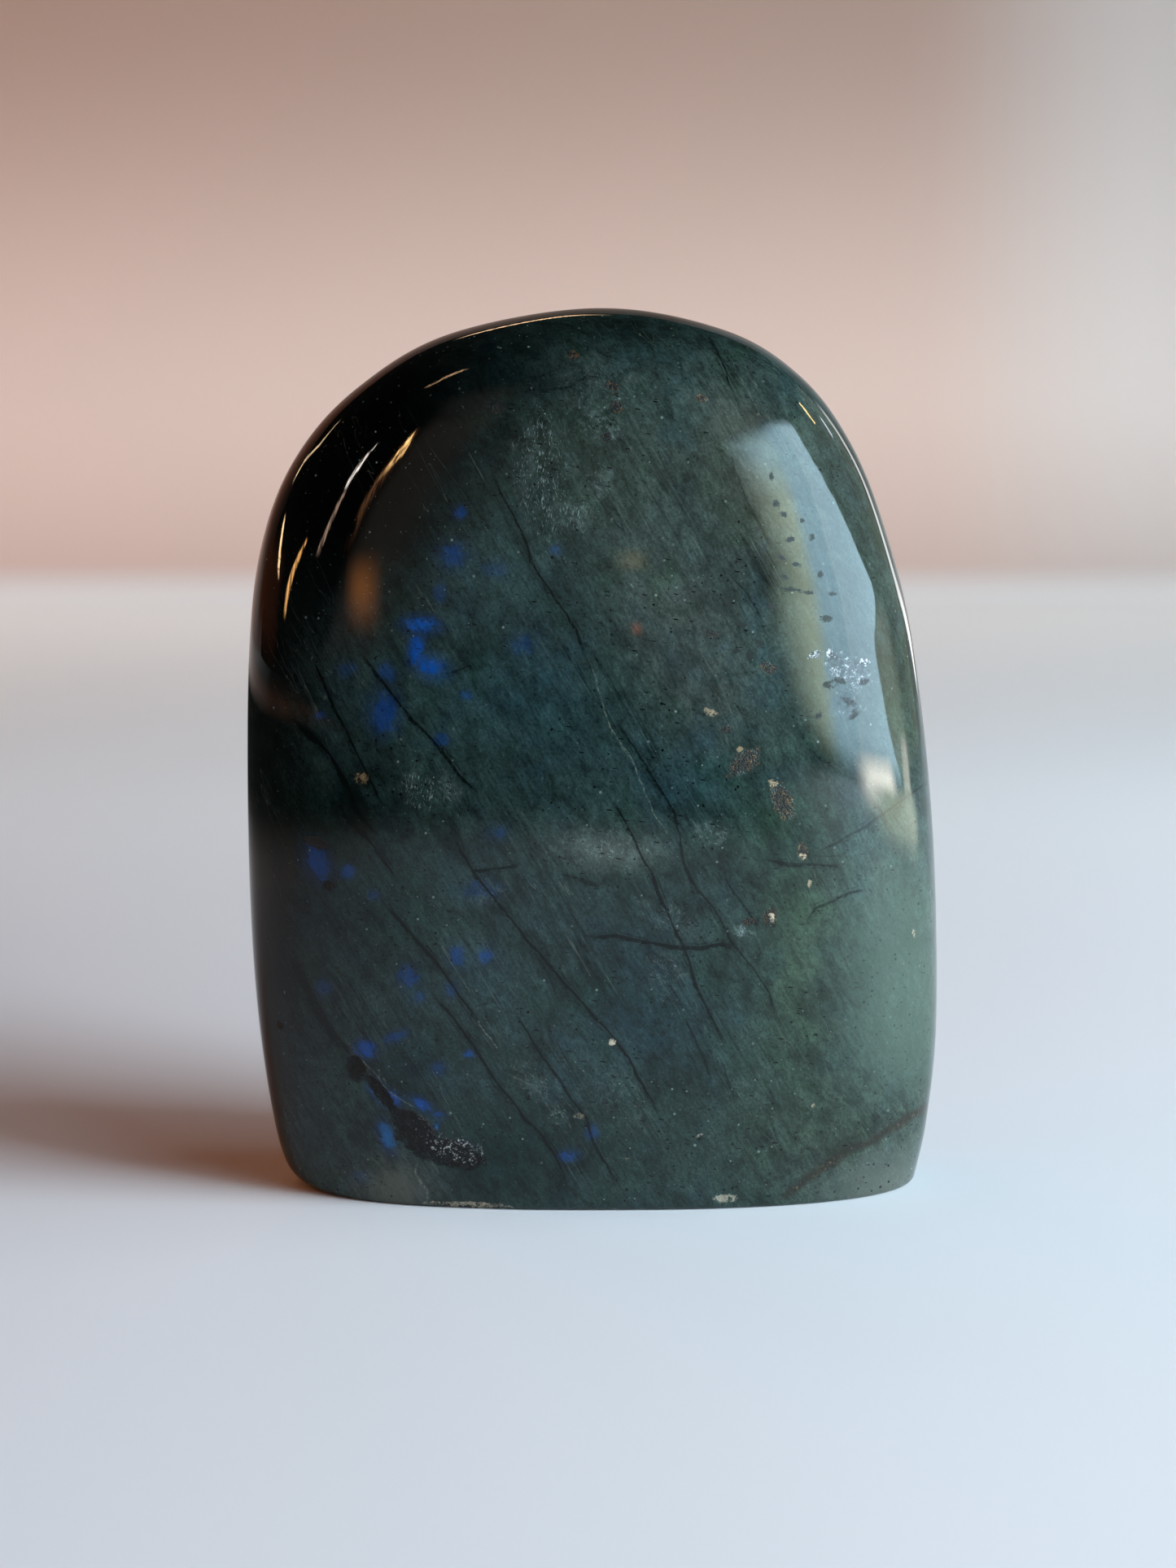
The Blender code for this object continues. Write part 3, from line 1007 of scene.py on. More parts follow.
@dataclass(frozen=True)
class LabradoriteFinish:
    """The polished surface: body colour with clouds, fibres and specks, then the placed marks, under a gloss.
    The blue flashes are a painted sheen, the white sparkle painted glints, and the body's dark zones painted
    shade.

    Where the body is paler than calm_from, the clouds and fibres start to give way to the plain body colour,
    and from calm_to on it takes the share calm_most. Each crack has a fainter twin on either side, a gap off.
    The depths and gaps are in millimetres, and the turns in radians.
    """

    roughness: float = 0.03
    ior: float = 1.5
    gloss: float = 0.30
    broken_roughness: float = 0.45
    grind_depth: float = 0.0022
    broken_depth: float = 0.16
    calm_from: float = 0.032
    calm_to: float = 0.09
    calm_most: float = 0.78
    crack_darkness: float = 0.92
    twin_gap: float = 0.5
    other_twin_gap: float = 0.42
    cleavage: Point = (0.0, math.radians(30.0), 0.0)
    upright_turn: Point = (0.0, -0.16, 0.0)
    leaning_turn: Point = (0.0, 0.3, 0.0)
    slanting_turn: Point = (0.0, 0.9, 0.0)
    dust_turn: Point = (0.3, 0.5, 0.2)
    greener: Colour = (0.80, 1.02, 0.80)
    bluer: Colour = (0.78, 0.97, 1.22)
    crack_colour: Colour = screen(4, 10, 9)
    pale_colour: Colour = screen(112, 124, 112)
    # The painted labradorescent sheen: the blue, violet and sky blue of the flashes.
    flash_colour: Colour = screen(8, 72, 152)
    violet_flash: Colour = screen(20, 54, 118)
    sky_flash: Colour = screen(30, 108, 162)
    feather_colour: Colour = screen(132, 150, 148)
    pit_colour: Colour = screen(5, 6, 7)
    rust_colour: Colour = screen(40, 31, 27)
    rust_vein_colour: Colour = screen(38, 34, 28)
    vein_crumb_colour: Colour = screen(112, 98, 80)
    tan_colour: Colour = screen(158, 128, 88)
    cream_colour: Colour = screen(196, 188, 168)
    painted_glint_colour: Colour = screen(214, 220, 222)
    silver_colour: Colour = screen(74, 78, 90)

    def material(self) -> bpy.types.Material:
        """Builds the material.

        Returns:
            The material.
        """
        bench = Bench(bpy.data.materials.new(STONE_SLOT))
        # The body colour from the mesh, with the painted shade of its dark zones.
        plain = bench.attribute_socket("body", "Color")
        body = self.fibres(bench, self.clouds(bench, plain))
        pale = Value(bench, bench.node("ShaderNodeRGBToBW", Color=plain).outputs[0])
        body = bench.mix(pale.rise(self.calm_from, self.calm_to) * self.calm_most, body, plain)
        body = self.feathers(bench, body)
        body = self.flashes(bench, body)
        body = self.rust(bench, body)
        body = self.specks(bench, body)
        body = self.cracks(bench, body)
        body, broken = self.broken_spots(bench, body)
        shader = bench.node(
            "ShaderNodeBsdfPrincipled", Base_Color=body, IOR=self.ior, Specular_IOR_Level=self.gloss,
            Roughness=self.roughness + broken * self.broken_roughness, Normal=self.polish(bench),
        )
        bench.node("ShaderNodeOutputMaterial", Surface=shader.outputs[0])
        return bench.owner

    def polish(self, bench: Bench) -> bpy.types.NodeSocket:
        """The polish's relief in millimetres: faint lines along the outline, and grain where it is broken.

        Args:
            bench: the material's bench.

        Returns:
            The normal.
        """
        along = bench.attribute_socket("meridian", "Vector")
        pits, rough = bench.attribute("pits_offset")[2], bench.attribute("rough")[0]
        broken = pits.rise(-0.1, 0.3).at_least(rough.rise(-0.1, 0.2))
        grain = bench.noise(bench.place(), 4.5, 2.0, 0.7)
        lines = bench.noise(along, 1.0, 2.0, 0.6) * self.grind_depth
        height = lines + (grain - 0.5) * broken * self.broken_depth
        return bench.node("ShaderNodeBump", Height=height, Strength=1.0, Distance=MM).outputs[0]

    def shade(self, bench: Bench, colour: bpy.types.NodeSocket, light: Value) -> bpy.types.NodeSocket:
        """The colour times a number."""
        grey = bench.node("ShaderNodeCombineColor", Red=light, Green=light, Blue=light).outputs[0]
        return bench.mix(1.0, colour, grey, "MULTIPLY")

    def clouds(self, bench: Bench, plain: bpy.types.NodeSocket) -> bpy.types.NodeSocket:
        """The body colour, lighter and darker in clouds of two sizes, with some greener and some bluer.

        Args:
            bench: the material's bench.
            plain: the plain body colour.

        Returns:
            The colour.
        """
        wide = bench.noise(bench.place(), 0.10, 4.0, 0.6, 0.5)
        near = bench.noise(bench.place(self.cleavage, (0.55, 0.5, 0.3)), 1.0, 5.0, 0.65, 0.6)
        light = 0.28 + wide.rise(0.25, 0.75) * 0.66 + near.rise(0.28, 0.72) * 0.86
        body = self.shade(bench, plain, light)
        tint = bench.noise(bench.place(), 0.16, 4.0, 0.6, 0.4)
        body = bench.mix(tint.rise(0.5, 0.72) * 0.6, body, self.greener, "MULTIPLY")
        return bench.mix(tint.rise(0.5, 0.28) * 0.6, body, self.bluer, "MULTIPLY")

    def fibres(self, bench: Bench, body: bpy.types.NodeSocket) -> bpy.types.NodeSocket:
        """Fine grain, fibres along the cleavage, and hairlines: thin level lines of a long drawn-out noise.

        Args:
            bench: the material's bench.
            body: the colour so far.

        Returns:
            The colour.
        """
        fibre = bench.noise(bench.place(self.cleavage, (3.4, 2.0, 0.8)), 1.0, 3.0, 0.7)
        grain = bench.noise(bench.place(), 3.2, 3.0, 0.8)
        body = self.shade(bench, body, 0.28 + fibre.rise(0.2, 0.8) * 0.72 + grain.rise(0.25, 0.75) * 0.72)
        drawn = bench.noise(bench.place(self.cleavage, (0.5, 0.16, 0.016)), 1.0, 3.0, 0.5)
        there = bench.noise(bench.place(self.cleavage, (0.12, 0.12, 0.05)), 1.0, 2.0).rise(0.47, 0.6)
        hair = abs(drawn - 0.5).rise(0.008, 0.001) * there
        veil = abs(drawn - 0.5).rise(0.05, 0.0) * there * 0.35
        body = bench.mix(hair.at_least(veil) * 0.66, body, self.crack_colour)
        return bench.mix(abs(drawn - 0.56).rise(0.004, 0.0) * there * 0.3, body, self.pale_colour)

    def specks(self, bench: Bench, body: bpy.types.NodeSocket) -> bpy.types.NodeSocket:
        """Tiny black grains and dashes, and tiny pale ones, each a seed of a cell field with its own size.

        Args:
            bench: the material's bench.
            body: the colour so far.

        Returns:
            The colour.
        """
        thick = bench.noise(bench.place(), 0.08, 3.0).rise(0.42, 0.6)
        distance, own = bench.cells(bench.place(), 1.1)
        grains = distance.rise(own * 0.24, own * 0.12) * own.rise(0.3, 0.36)
        distance, own = bench.cells(bench.place(self.upright_turn, (0.55, 1.0, 2.4)), 0.95)
        dashes = distance.rise(own * 0.24, own * 0.14) * own.rise(0.45, 0.5)
        body = bench.mix(grains.at_least(dashes) * (0.45 + thick * 0.5), body, self.pit_colour)
        distance, own = bench.cells(bench.place(self.dust_turn), 0.7)
        dust = distance.rise(own * 0.16, own * 0.05) * own.rise(0.42, 0.5)
        distance, own = bench.cells(bench.place(self.dust_turn), 1.6)
        fine = distance.rise(own * 0.2, own * 0.05) * own.rise(0.5, 0.6) * 0.5
        return bench.mix(dust.at_least(fine) * (0.2 + thick * 0.45), body, self.feather_colour)

    def feathers(self, bench: Bench, body: bpy.types.NodeSocket) -> bpy.types.NodeSocket:
        """Short white strokes, upright or slanting, and pale mist where the feathers lie.

        Args:
            bench: the material's bench.
            body: the colour so far.

        Returns:
            The colour.
        """
        cone, gain, upright = bench.attribute("feathers")
        patch = bench.noise(bench.place(), 0.7, 5.0, 0.65, 0.5)
        where = (cone + (patch - 0.5) * 1.6).rise(-0.1, 0.8) * gain
        strokes = bench.noise(bench.place(self.upright_turn, (6.0, 4.0, 1.2)), 1.0, 2.0, 0.6).rise(0.61, 0.68)
        other = bench.noise(bench.place(self.leaning_turn, (6.0, 4.0, 1.3)), 1.0, 2.0, 0.6).rise(0.62, 0.69)
        slants = bench.noise(bench.place(self.slanting_turn, (4.0, 4.0, 1.6)), 1.0, 4.0, 0.75).rise(0.54, 0.7)
        drawn = strokes.at_least(other) * upright + slants * (1.0 - upright)
        body = bench.mix(where * patch.rise(0.42, 0.7) * 0.2, body, self.feather_colour)
        return bench.mix((where * drawn * 1.1).at_most(0.85), body, self.feather_colour)

    def flashes(self, bench: Bench, body: bpy.types.NodeSocket) -> bpy.types.NodeSocket:
        """Blue flashes with ragged edges, mottled inside: the labradorescent sheen, painted into the colour.
        The tone turns them violet or sky blue.

        Args:
            bench: the material's bench.
            body: the colour so far.

        Returns:
            The colour.
        """
        cone, gain, tone = bench.attribute("flashes")
        ragged = bench.noise(bench.place(self.cleavage, (0.8, 0.8, 0.5)), 1.0, 5.0, 0.7, 0.8)
        edge = cone + (ragged - 0.5) * 2.6
        mottle = bench.noise(bench.place(self.cleavage, (2.2, 2.0, 1.2)), 1.0, 4.0, 0.7).rise(0.25, 0.7)
        there = edge.rise(-0.05, 0.55) * gain * (0.35 + mottle * 0.65)
        colour = bench.mix(tone.at_least(0.0), self.flash_colour, self.sky_flash)
        colour = bench.mix((tone * -1.0).at_least(0.0), colour, self.violet_flash)
        body = bench.mix(cone.rise(-0.9, 0.6) * gain * 0.22, body, self.flash_colour)
        return bench.mix(there.at_most(1.0), body, colour)

    def rust(self, bench: Bench, body: bpy.types.NodeSocket) -> bpy.types.NodeSocket:
        """The rust vein: a brown band with tan crumbs in its middle, widening and thinning along its way.

        Args:
            bench: the material's bench.
            body: the colour so far.

        Returns:
            The colour.
        """
        distance, strength, half = bench.attribute("rust_vein")
        wander = bench.noise(bench.place(), 0.45, 5.0, 0.65)
        off = abs(distance + (wander - 0.5) * 1.3)
        band = off.rise(half * 1.9, half * 0.2) * strength
        crumbs = bench.noise(bench.place(), 3.0, 4.0, 0.75).rise(0.5, 0.68)
        middle = off.rise(half * 1.2, 0.1) * strength * wander.rise(0.42, 0.6)
        body = bench.mix(band * 0.8, body, self.rust_vein_colour)
        return bench.mix(middle * crumbs * 0.8, body, self.vein_crumb_colour)

    def line(self, bench: Bench, name: str, wobble: Value, fray: Value) -> Value:
        """How dark a group of lines is: full on the line, soft beside it, with a fainter twin on each side.

        Args:
            bench: the material's bench.
            name: the group's attribute.
            wobble: slow noise that makes the lines wander, and thin and thicken.
            fray: fine noise that breaks their edges.

        Returns:
            The darkness from 0 to 1.
        """
        distance, strength, half = bench.attribute(name)
        off = distance + (wobble - 0.5) * 0.7 + (fray - 0.5) * 0.16
        width = half * (0.75 + wobble.rise(0.3, 0.7) * 1.35)
        main = abs(off).rise(width * 1.5, width * 0.7)
        soft = abs(off).rise(half * 6.0, 0.0) * 0.34
        twin = abs(off - self.twin_gap).rise(half * 1.1, 0.0) * wobble.rise(0.48, 0.6) * 0.75
        other_twin = abs(off + self.other_twin_gap).rise(half * 1.1, 0.0) * wobble.rise(0.52, 0.4) * 0.55
        drawn = main.at_least(soft).at_least(twin).at_least(other_twin) * strength
        return (drawn * (0.8 + fray.rise(0.3, 0.6) * 0.5)).at_most(1.0)

    def cracks(self, bench: Bench, body: bpy.types.NodeSocket) -> bpy.types.NodeSocket:
        """The dark cleavage lines and cross fractures, and the pale healed veins.

        Args:
            bench: the material's bench.
            body: the colour so far.

        Returns:
            The colour.
        """
        wobble = bench.noise(bench.place(), 0.42, 4.0, 0.6)
        fray = bench.noise(bench.place(), 2.4, 3.0, 0.7)
        distance, strength, half = bench.attribute("pale_lines")
        pale = abs(distance + (wobble - 0.5) * 0.6).rise(half * 1.5, half * 0.2) * strength
        body = bench.mix(pale * (0.12 + fray.rise(0.45, 0.62) * 0.7), body, self.pale_colour)
        dark = self.line(bench, "steep_lines", wobble, fray)
        dark = dark.at_least(self.line(bench, "other_steep_lines", wobble, fray))
        dark = dark.at_least(self.line(bench, "crossing_lines", wobble, fray))
        return bench.mix(dark * self.crack_darkness, body, self.crack_colour)

    def spot(self, bench: Bench, name: str, ragged: Value) -> tuple[Value, Value, Value]:
        """The nearest small spot of a group, drawn from the offset to its middle.

        The offset's length is exact between vertices. The cone only rules out the seams between two spots.

        Args:
            bench: the material's bench.
            name: the group's attribute.
            ragged: noise added to its edge.

        Returns:
            Its height, above 0 inside it, and its gain and tone.
        """
        along, beside, cone = bench.attribute(name + "_offset")
        gain, tone, _ = bench.attribute(name)
        length = bench.math("SQRT", along * along + beside * beside)
        return (1.0 - length + ragged).at_most(cone + 0.5 + ragged), gain, tone

    def broken_spots(self, bench: Bench, body: bpy.types.NodeSocket) -> tuple[bpy.types.NodeSocket, Value]:
        """Pits, nicks, crumbs, the rough black inclusion and the silvery one, with painted glints of white
        sparkle.

        Args:
            bench: the material's bench.
            body: the colour so far.

        Returns:
            The colour, and how unpolished the surface is there.
        """
        ragged = (bench.noise(bench.place(), 1.3, 5.0, 0.7, 0.5) - 0.5) * 2.4
        fine = bench.noise(bench.place(), 4.2, 3.0, 0.75)
        broad = bench.noise(bench.place(), 1.7, 4.0, 0.7)
        edge, pale, rusty = self.spot(bench, "pits", ragged)
        pit = edge.rise(-0.02, 0.22)
        inside = bench.mix(rusty * broad.rise(0.4, 0.56), self.pit_colour, self.rust_colour)
        grains = (fine * 0.55 + broad * 0.45).rise(0.52, 0.58) * pale * edge.rise(1.0, 0.3)
        inside = bench.mix(grains.at_most(1.0), inside, self.tan_colour)
        body = bench.mix(pit * 0.94, body, inside)
        edge, _, _ = self.spot(bench, "nicks", (fine - 0.5) * 3.0)
        nick = edge.rise(-0.3, 0.1)
        body = bench.mix(nick * 0.9, body, self.pit_colour)
        edge, gain, warm = self.spot(bench, "crumbs", ragged)
        crumb = edge.rise(0.0, 0.3) * gain * (broad * 0.6 + fine * 0.4).rise(0.42, 0.54)
        body = bench.mix(crumb, body, bench.mix(warm, self.cream_colour, self.tan_colour))
        cone, _, _ = bench.attribute("rough")
        rough = (cone + ragged * 0.55).rise(-0.04, 0.1)
        coal = bench.mix(fine.rise(0.54, 0.72) * 0.35, self.pit_colour, self.silver_colour)
        body = bench.mix(rough, body, coal)
        edge, gain, _ = self.spot(bench, "sparkle", ragged)
        silver = edge.rise(-0.1, 0.25) * gain.at_most(1.0)
        grey = bench.mix(broad.rise(0.56, 0.44) * 0.85, self.silver_colour, self.pit_colour)
        body = bench.mix((silver * (1.0 - rough) * 0.8).at_most(1.0), body, grey)
        # Painted glints: white specks of mirrored light on the inclusions.
        glints = (fine * 0.55 + broad * 0.45 + gain * 0.09).rise(0.6, 0.66) * silver * gain
        body = bench.mix(glints.at_most(1.0), body, self.painted_glint_colour)
        return body, pit.at_least(rough).at_least(nick).at_least(silver * 0.7).at_most(1.0)


class Seen(Enum):
    """How a panel's light reaches the scene."""

    REFLECTED = "shows in reflections only"
    SPREAD = "lights surfaces only"


# One level of a panel: its elevation, and the azimuths of its two sides there, all in degrees.
Level = tuple[float, float, float]
# Where the stone mirrors the window from, and the lamps at the left, in millimetres.
RIGHT_EYE = (27.0, -12.0, 48.0)
LEFT_EYE = (-29.0, -9.0, 70.0)


@dataclass(frozen=True)
class Glow:
    """A lit stretch of the room round the stone, as a curved panel of light that the camera doesn't see.

    Directions are seen from the eye: azimuth from the camera's side round to the right, elevation up, in
    degrees. The panel fades in over so many degrees at its near side, far side, foot and top, and what is
    behind shows through. With strands it is broken into thin upright strokes, as a lamp is that scratches
    mirror. Its grid has a point every step degrees, and at least fewest each way.
    """

    name: str
    levels: tuple[Level, ...]
    colour: Colour
    strength: float
    fade: tuple[float, float, float, float] = (0.0, 0.0, 0.0, 0.0)
    distance: float = 1250.0
    eye: Point = (0.0, 0.0, 46.0)
    seen: Seen = Seen.REFLECTED
    step: float = 1.5
    strands: bool = False
    fewest: ClassVar[int] = 5
    uv_scale: ClassVar[float] = 0.01
    strand_scale: ClassVar[Point] = (150.0, 16.0, 1.0)

    def grid(self) -> tuple[np.ndarray, np.ndarray, np.ndarray]:
        """The panel's directions.

        Rows are even in elevation, and on each row the azimuths are even from the far side to the near side
        at that level.

        Returns:
            The azimuths and elevations in degrees, and how much of the panel shows at each point.
        """
        level = np.array(self.levels)
        rows = max(self.fewest, math.ceil(np.ptp(level[:, 0]) / self.step) + 1)
        columns = max(self.fewest, math.ceil(np.ptp(level[:, 1:]) / self.step) + 1)
        elevation = np.linspace(level[0, 0], level[-1, 0], rows)[:, None]
        near, far = (np.interp(elevation, level[:, 0], level[:, side]) for side in (1, 2))
        azimuth = far + (near - far) * np.linspace(0.0, 1.0, columns)[None, :]
        elevation = np.broadcast_to(elevation, azimuth.shape)
        inside = (azimuth - near, far - azimuth, elevation - elevation[0], elevation[-1] - elevation)
        cover = np.ones_like(azimuth)
        for wide, gap in zip(self.fade, inside):
            if wide:
                cover = cover * smooth(0.0, wide, gap)
        return azimuth, elevation, cover

    def mesh(self) -> bpy.types.Mesh:
        """The panel's mesh, at one distance from the eye and facing it.

        Returns:
            The mesh, with its directions as its UV map, scaled by uv_scale, and its cover as an attribute.
        """
        azimuth, elevation, cover = self.grid()
        az, el = np.radians(azimuth), np.radians(elevation)
        away = np.stack([np.sin(az) * np.cos(el), -np.cos(az) * np.cos(el), np.sin(el)], axis=-1)
        points = (away * self.distance + np.array(self.eye)).reshape(-1, 3) * MM
        mesh = bpy.data.meshes.new(self.name)
        mesh.from_pydata(points.tolist(), [], grid_faces(*azimuth.shape).tolist())
        uv = np.stack([azimuth, elevation], axis=-1).reshape(-1, 2) * self.uv_scale
        corners = np.zeros(len(mesh.loops), int)
        mesh.loops.foreach_get("vertex_index", corners)
        mesh.uv_layers.new(name="panel").data.foreach_set("uv", uv[corners].ravel())
        mesh.attributes.new("cover", "FLOAT", "POINT").data.foreach_set("value", cover.ravel())
        return mesh

    def light(self, shade: Callable[[Bench], Any] | None) -> bpy.types.Material:
        """The panel's material: its light, clear where the panel fades out or is broken into strands.

        Args:
            shade: gives the colour on the panel's UV map, or None for the plain one.

        Returns:
            The material.
        """
        bench = Bench(bpy.data.materials.new(self.name))
        colour = shade(bench) if shade else self.colour
        light = bench.node("ShaderNodeEmission", Color=colour, Strength=self.strength).outputs[0]
        if any(self.fade):
            share = Value(bench, bench.attribute_socket("cover", "Fac"))
            if self.strands:
                plain = bench.node("ShaderNodeUVMap", {"uv_map": "panel"}).outputs[0]
                strand = bench.noise(bench.stretch(plain, self.strand_scale), 1.0, 3.0, 0.75)
                share = share * strand.rise(0.42, 0.56)
            clear = bench.node("ShaderNodeBsdfTransparent").outputs[0]
            light = bench.node("ShaderNodeMixShader", input_0=share, input_1=clear, input_2=light).outputs[0]
        bench.node("ShaderNodeOutputMaterial", Surface=light)
        if self.seen is Seen.REFLECTED:
            bench.owner.cycles.emission_sampling = "NONE"
        return bench.owner

    def make(self, shade: Callable[[Bench], Any] | None = None) -> bpy.types.Object:
        """Makes the panel.

        Args:
            shade: gives the colour on the panel's UV map, if it isn't the plain one.

        Returns:
            The panel.
        """
        mesh = self.mesh()
        mesh.materials.append(self.light(shade))
        panel = bpy.data.objects.new(self.name, mesh)
        panel.visible_camera = False
        panel.visible_shadow = False
        panel.visible_diffuse = self.seen is Seen.SPREAD
        panel.visible_glossy = self.seen is Seen.REFLECTED
        bpy.context.scene.collection.objects.link(panel)
        return panel


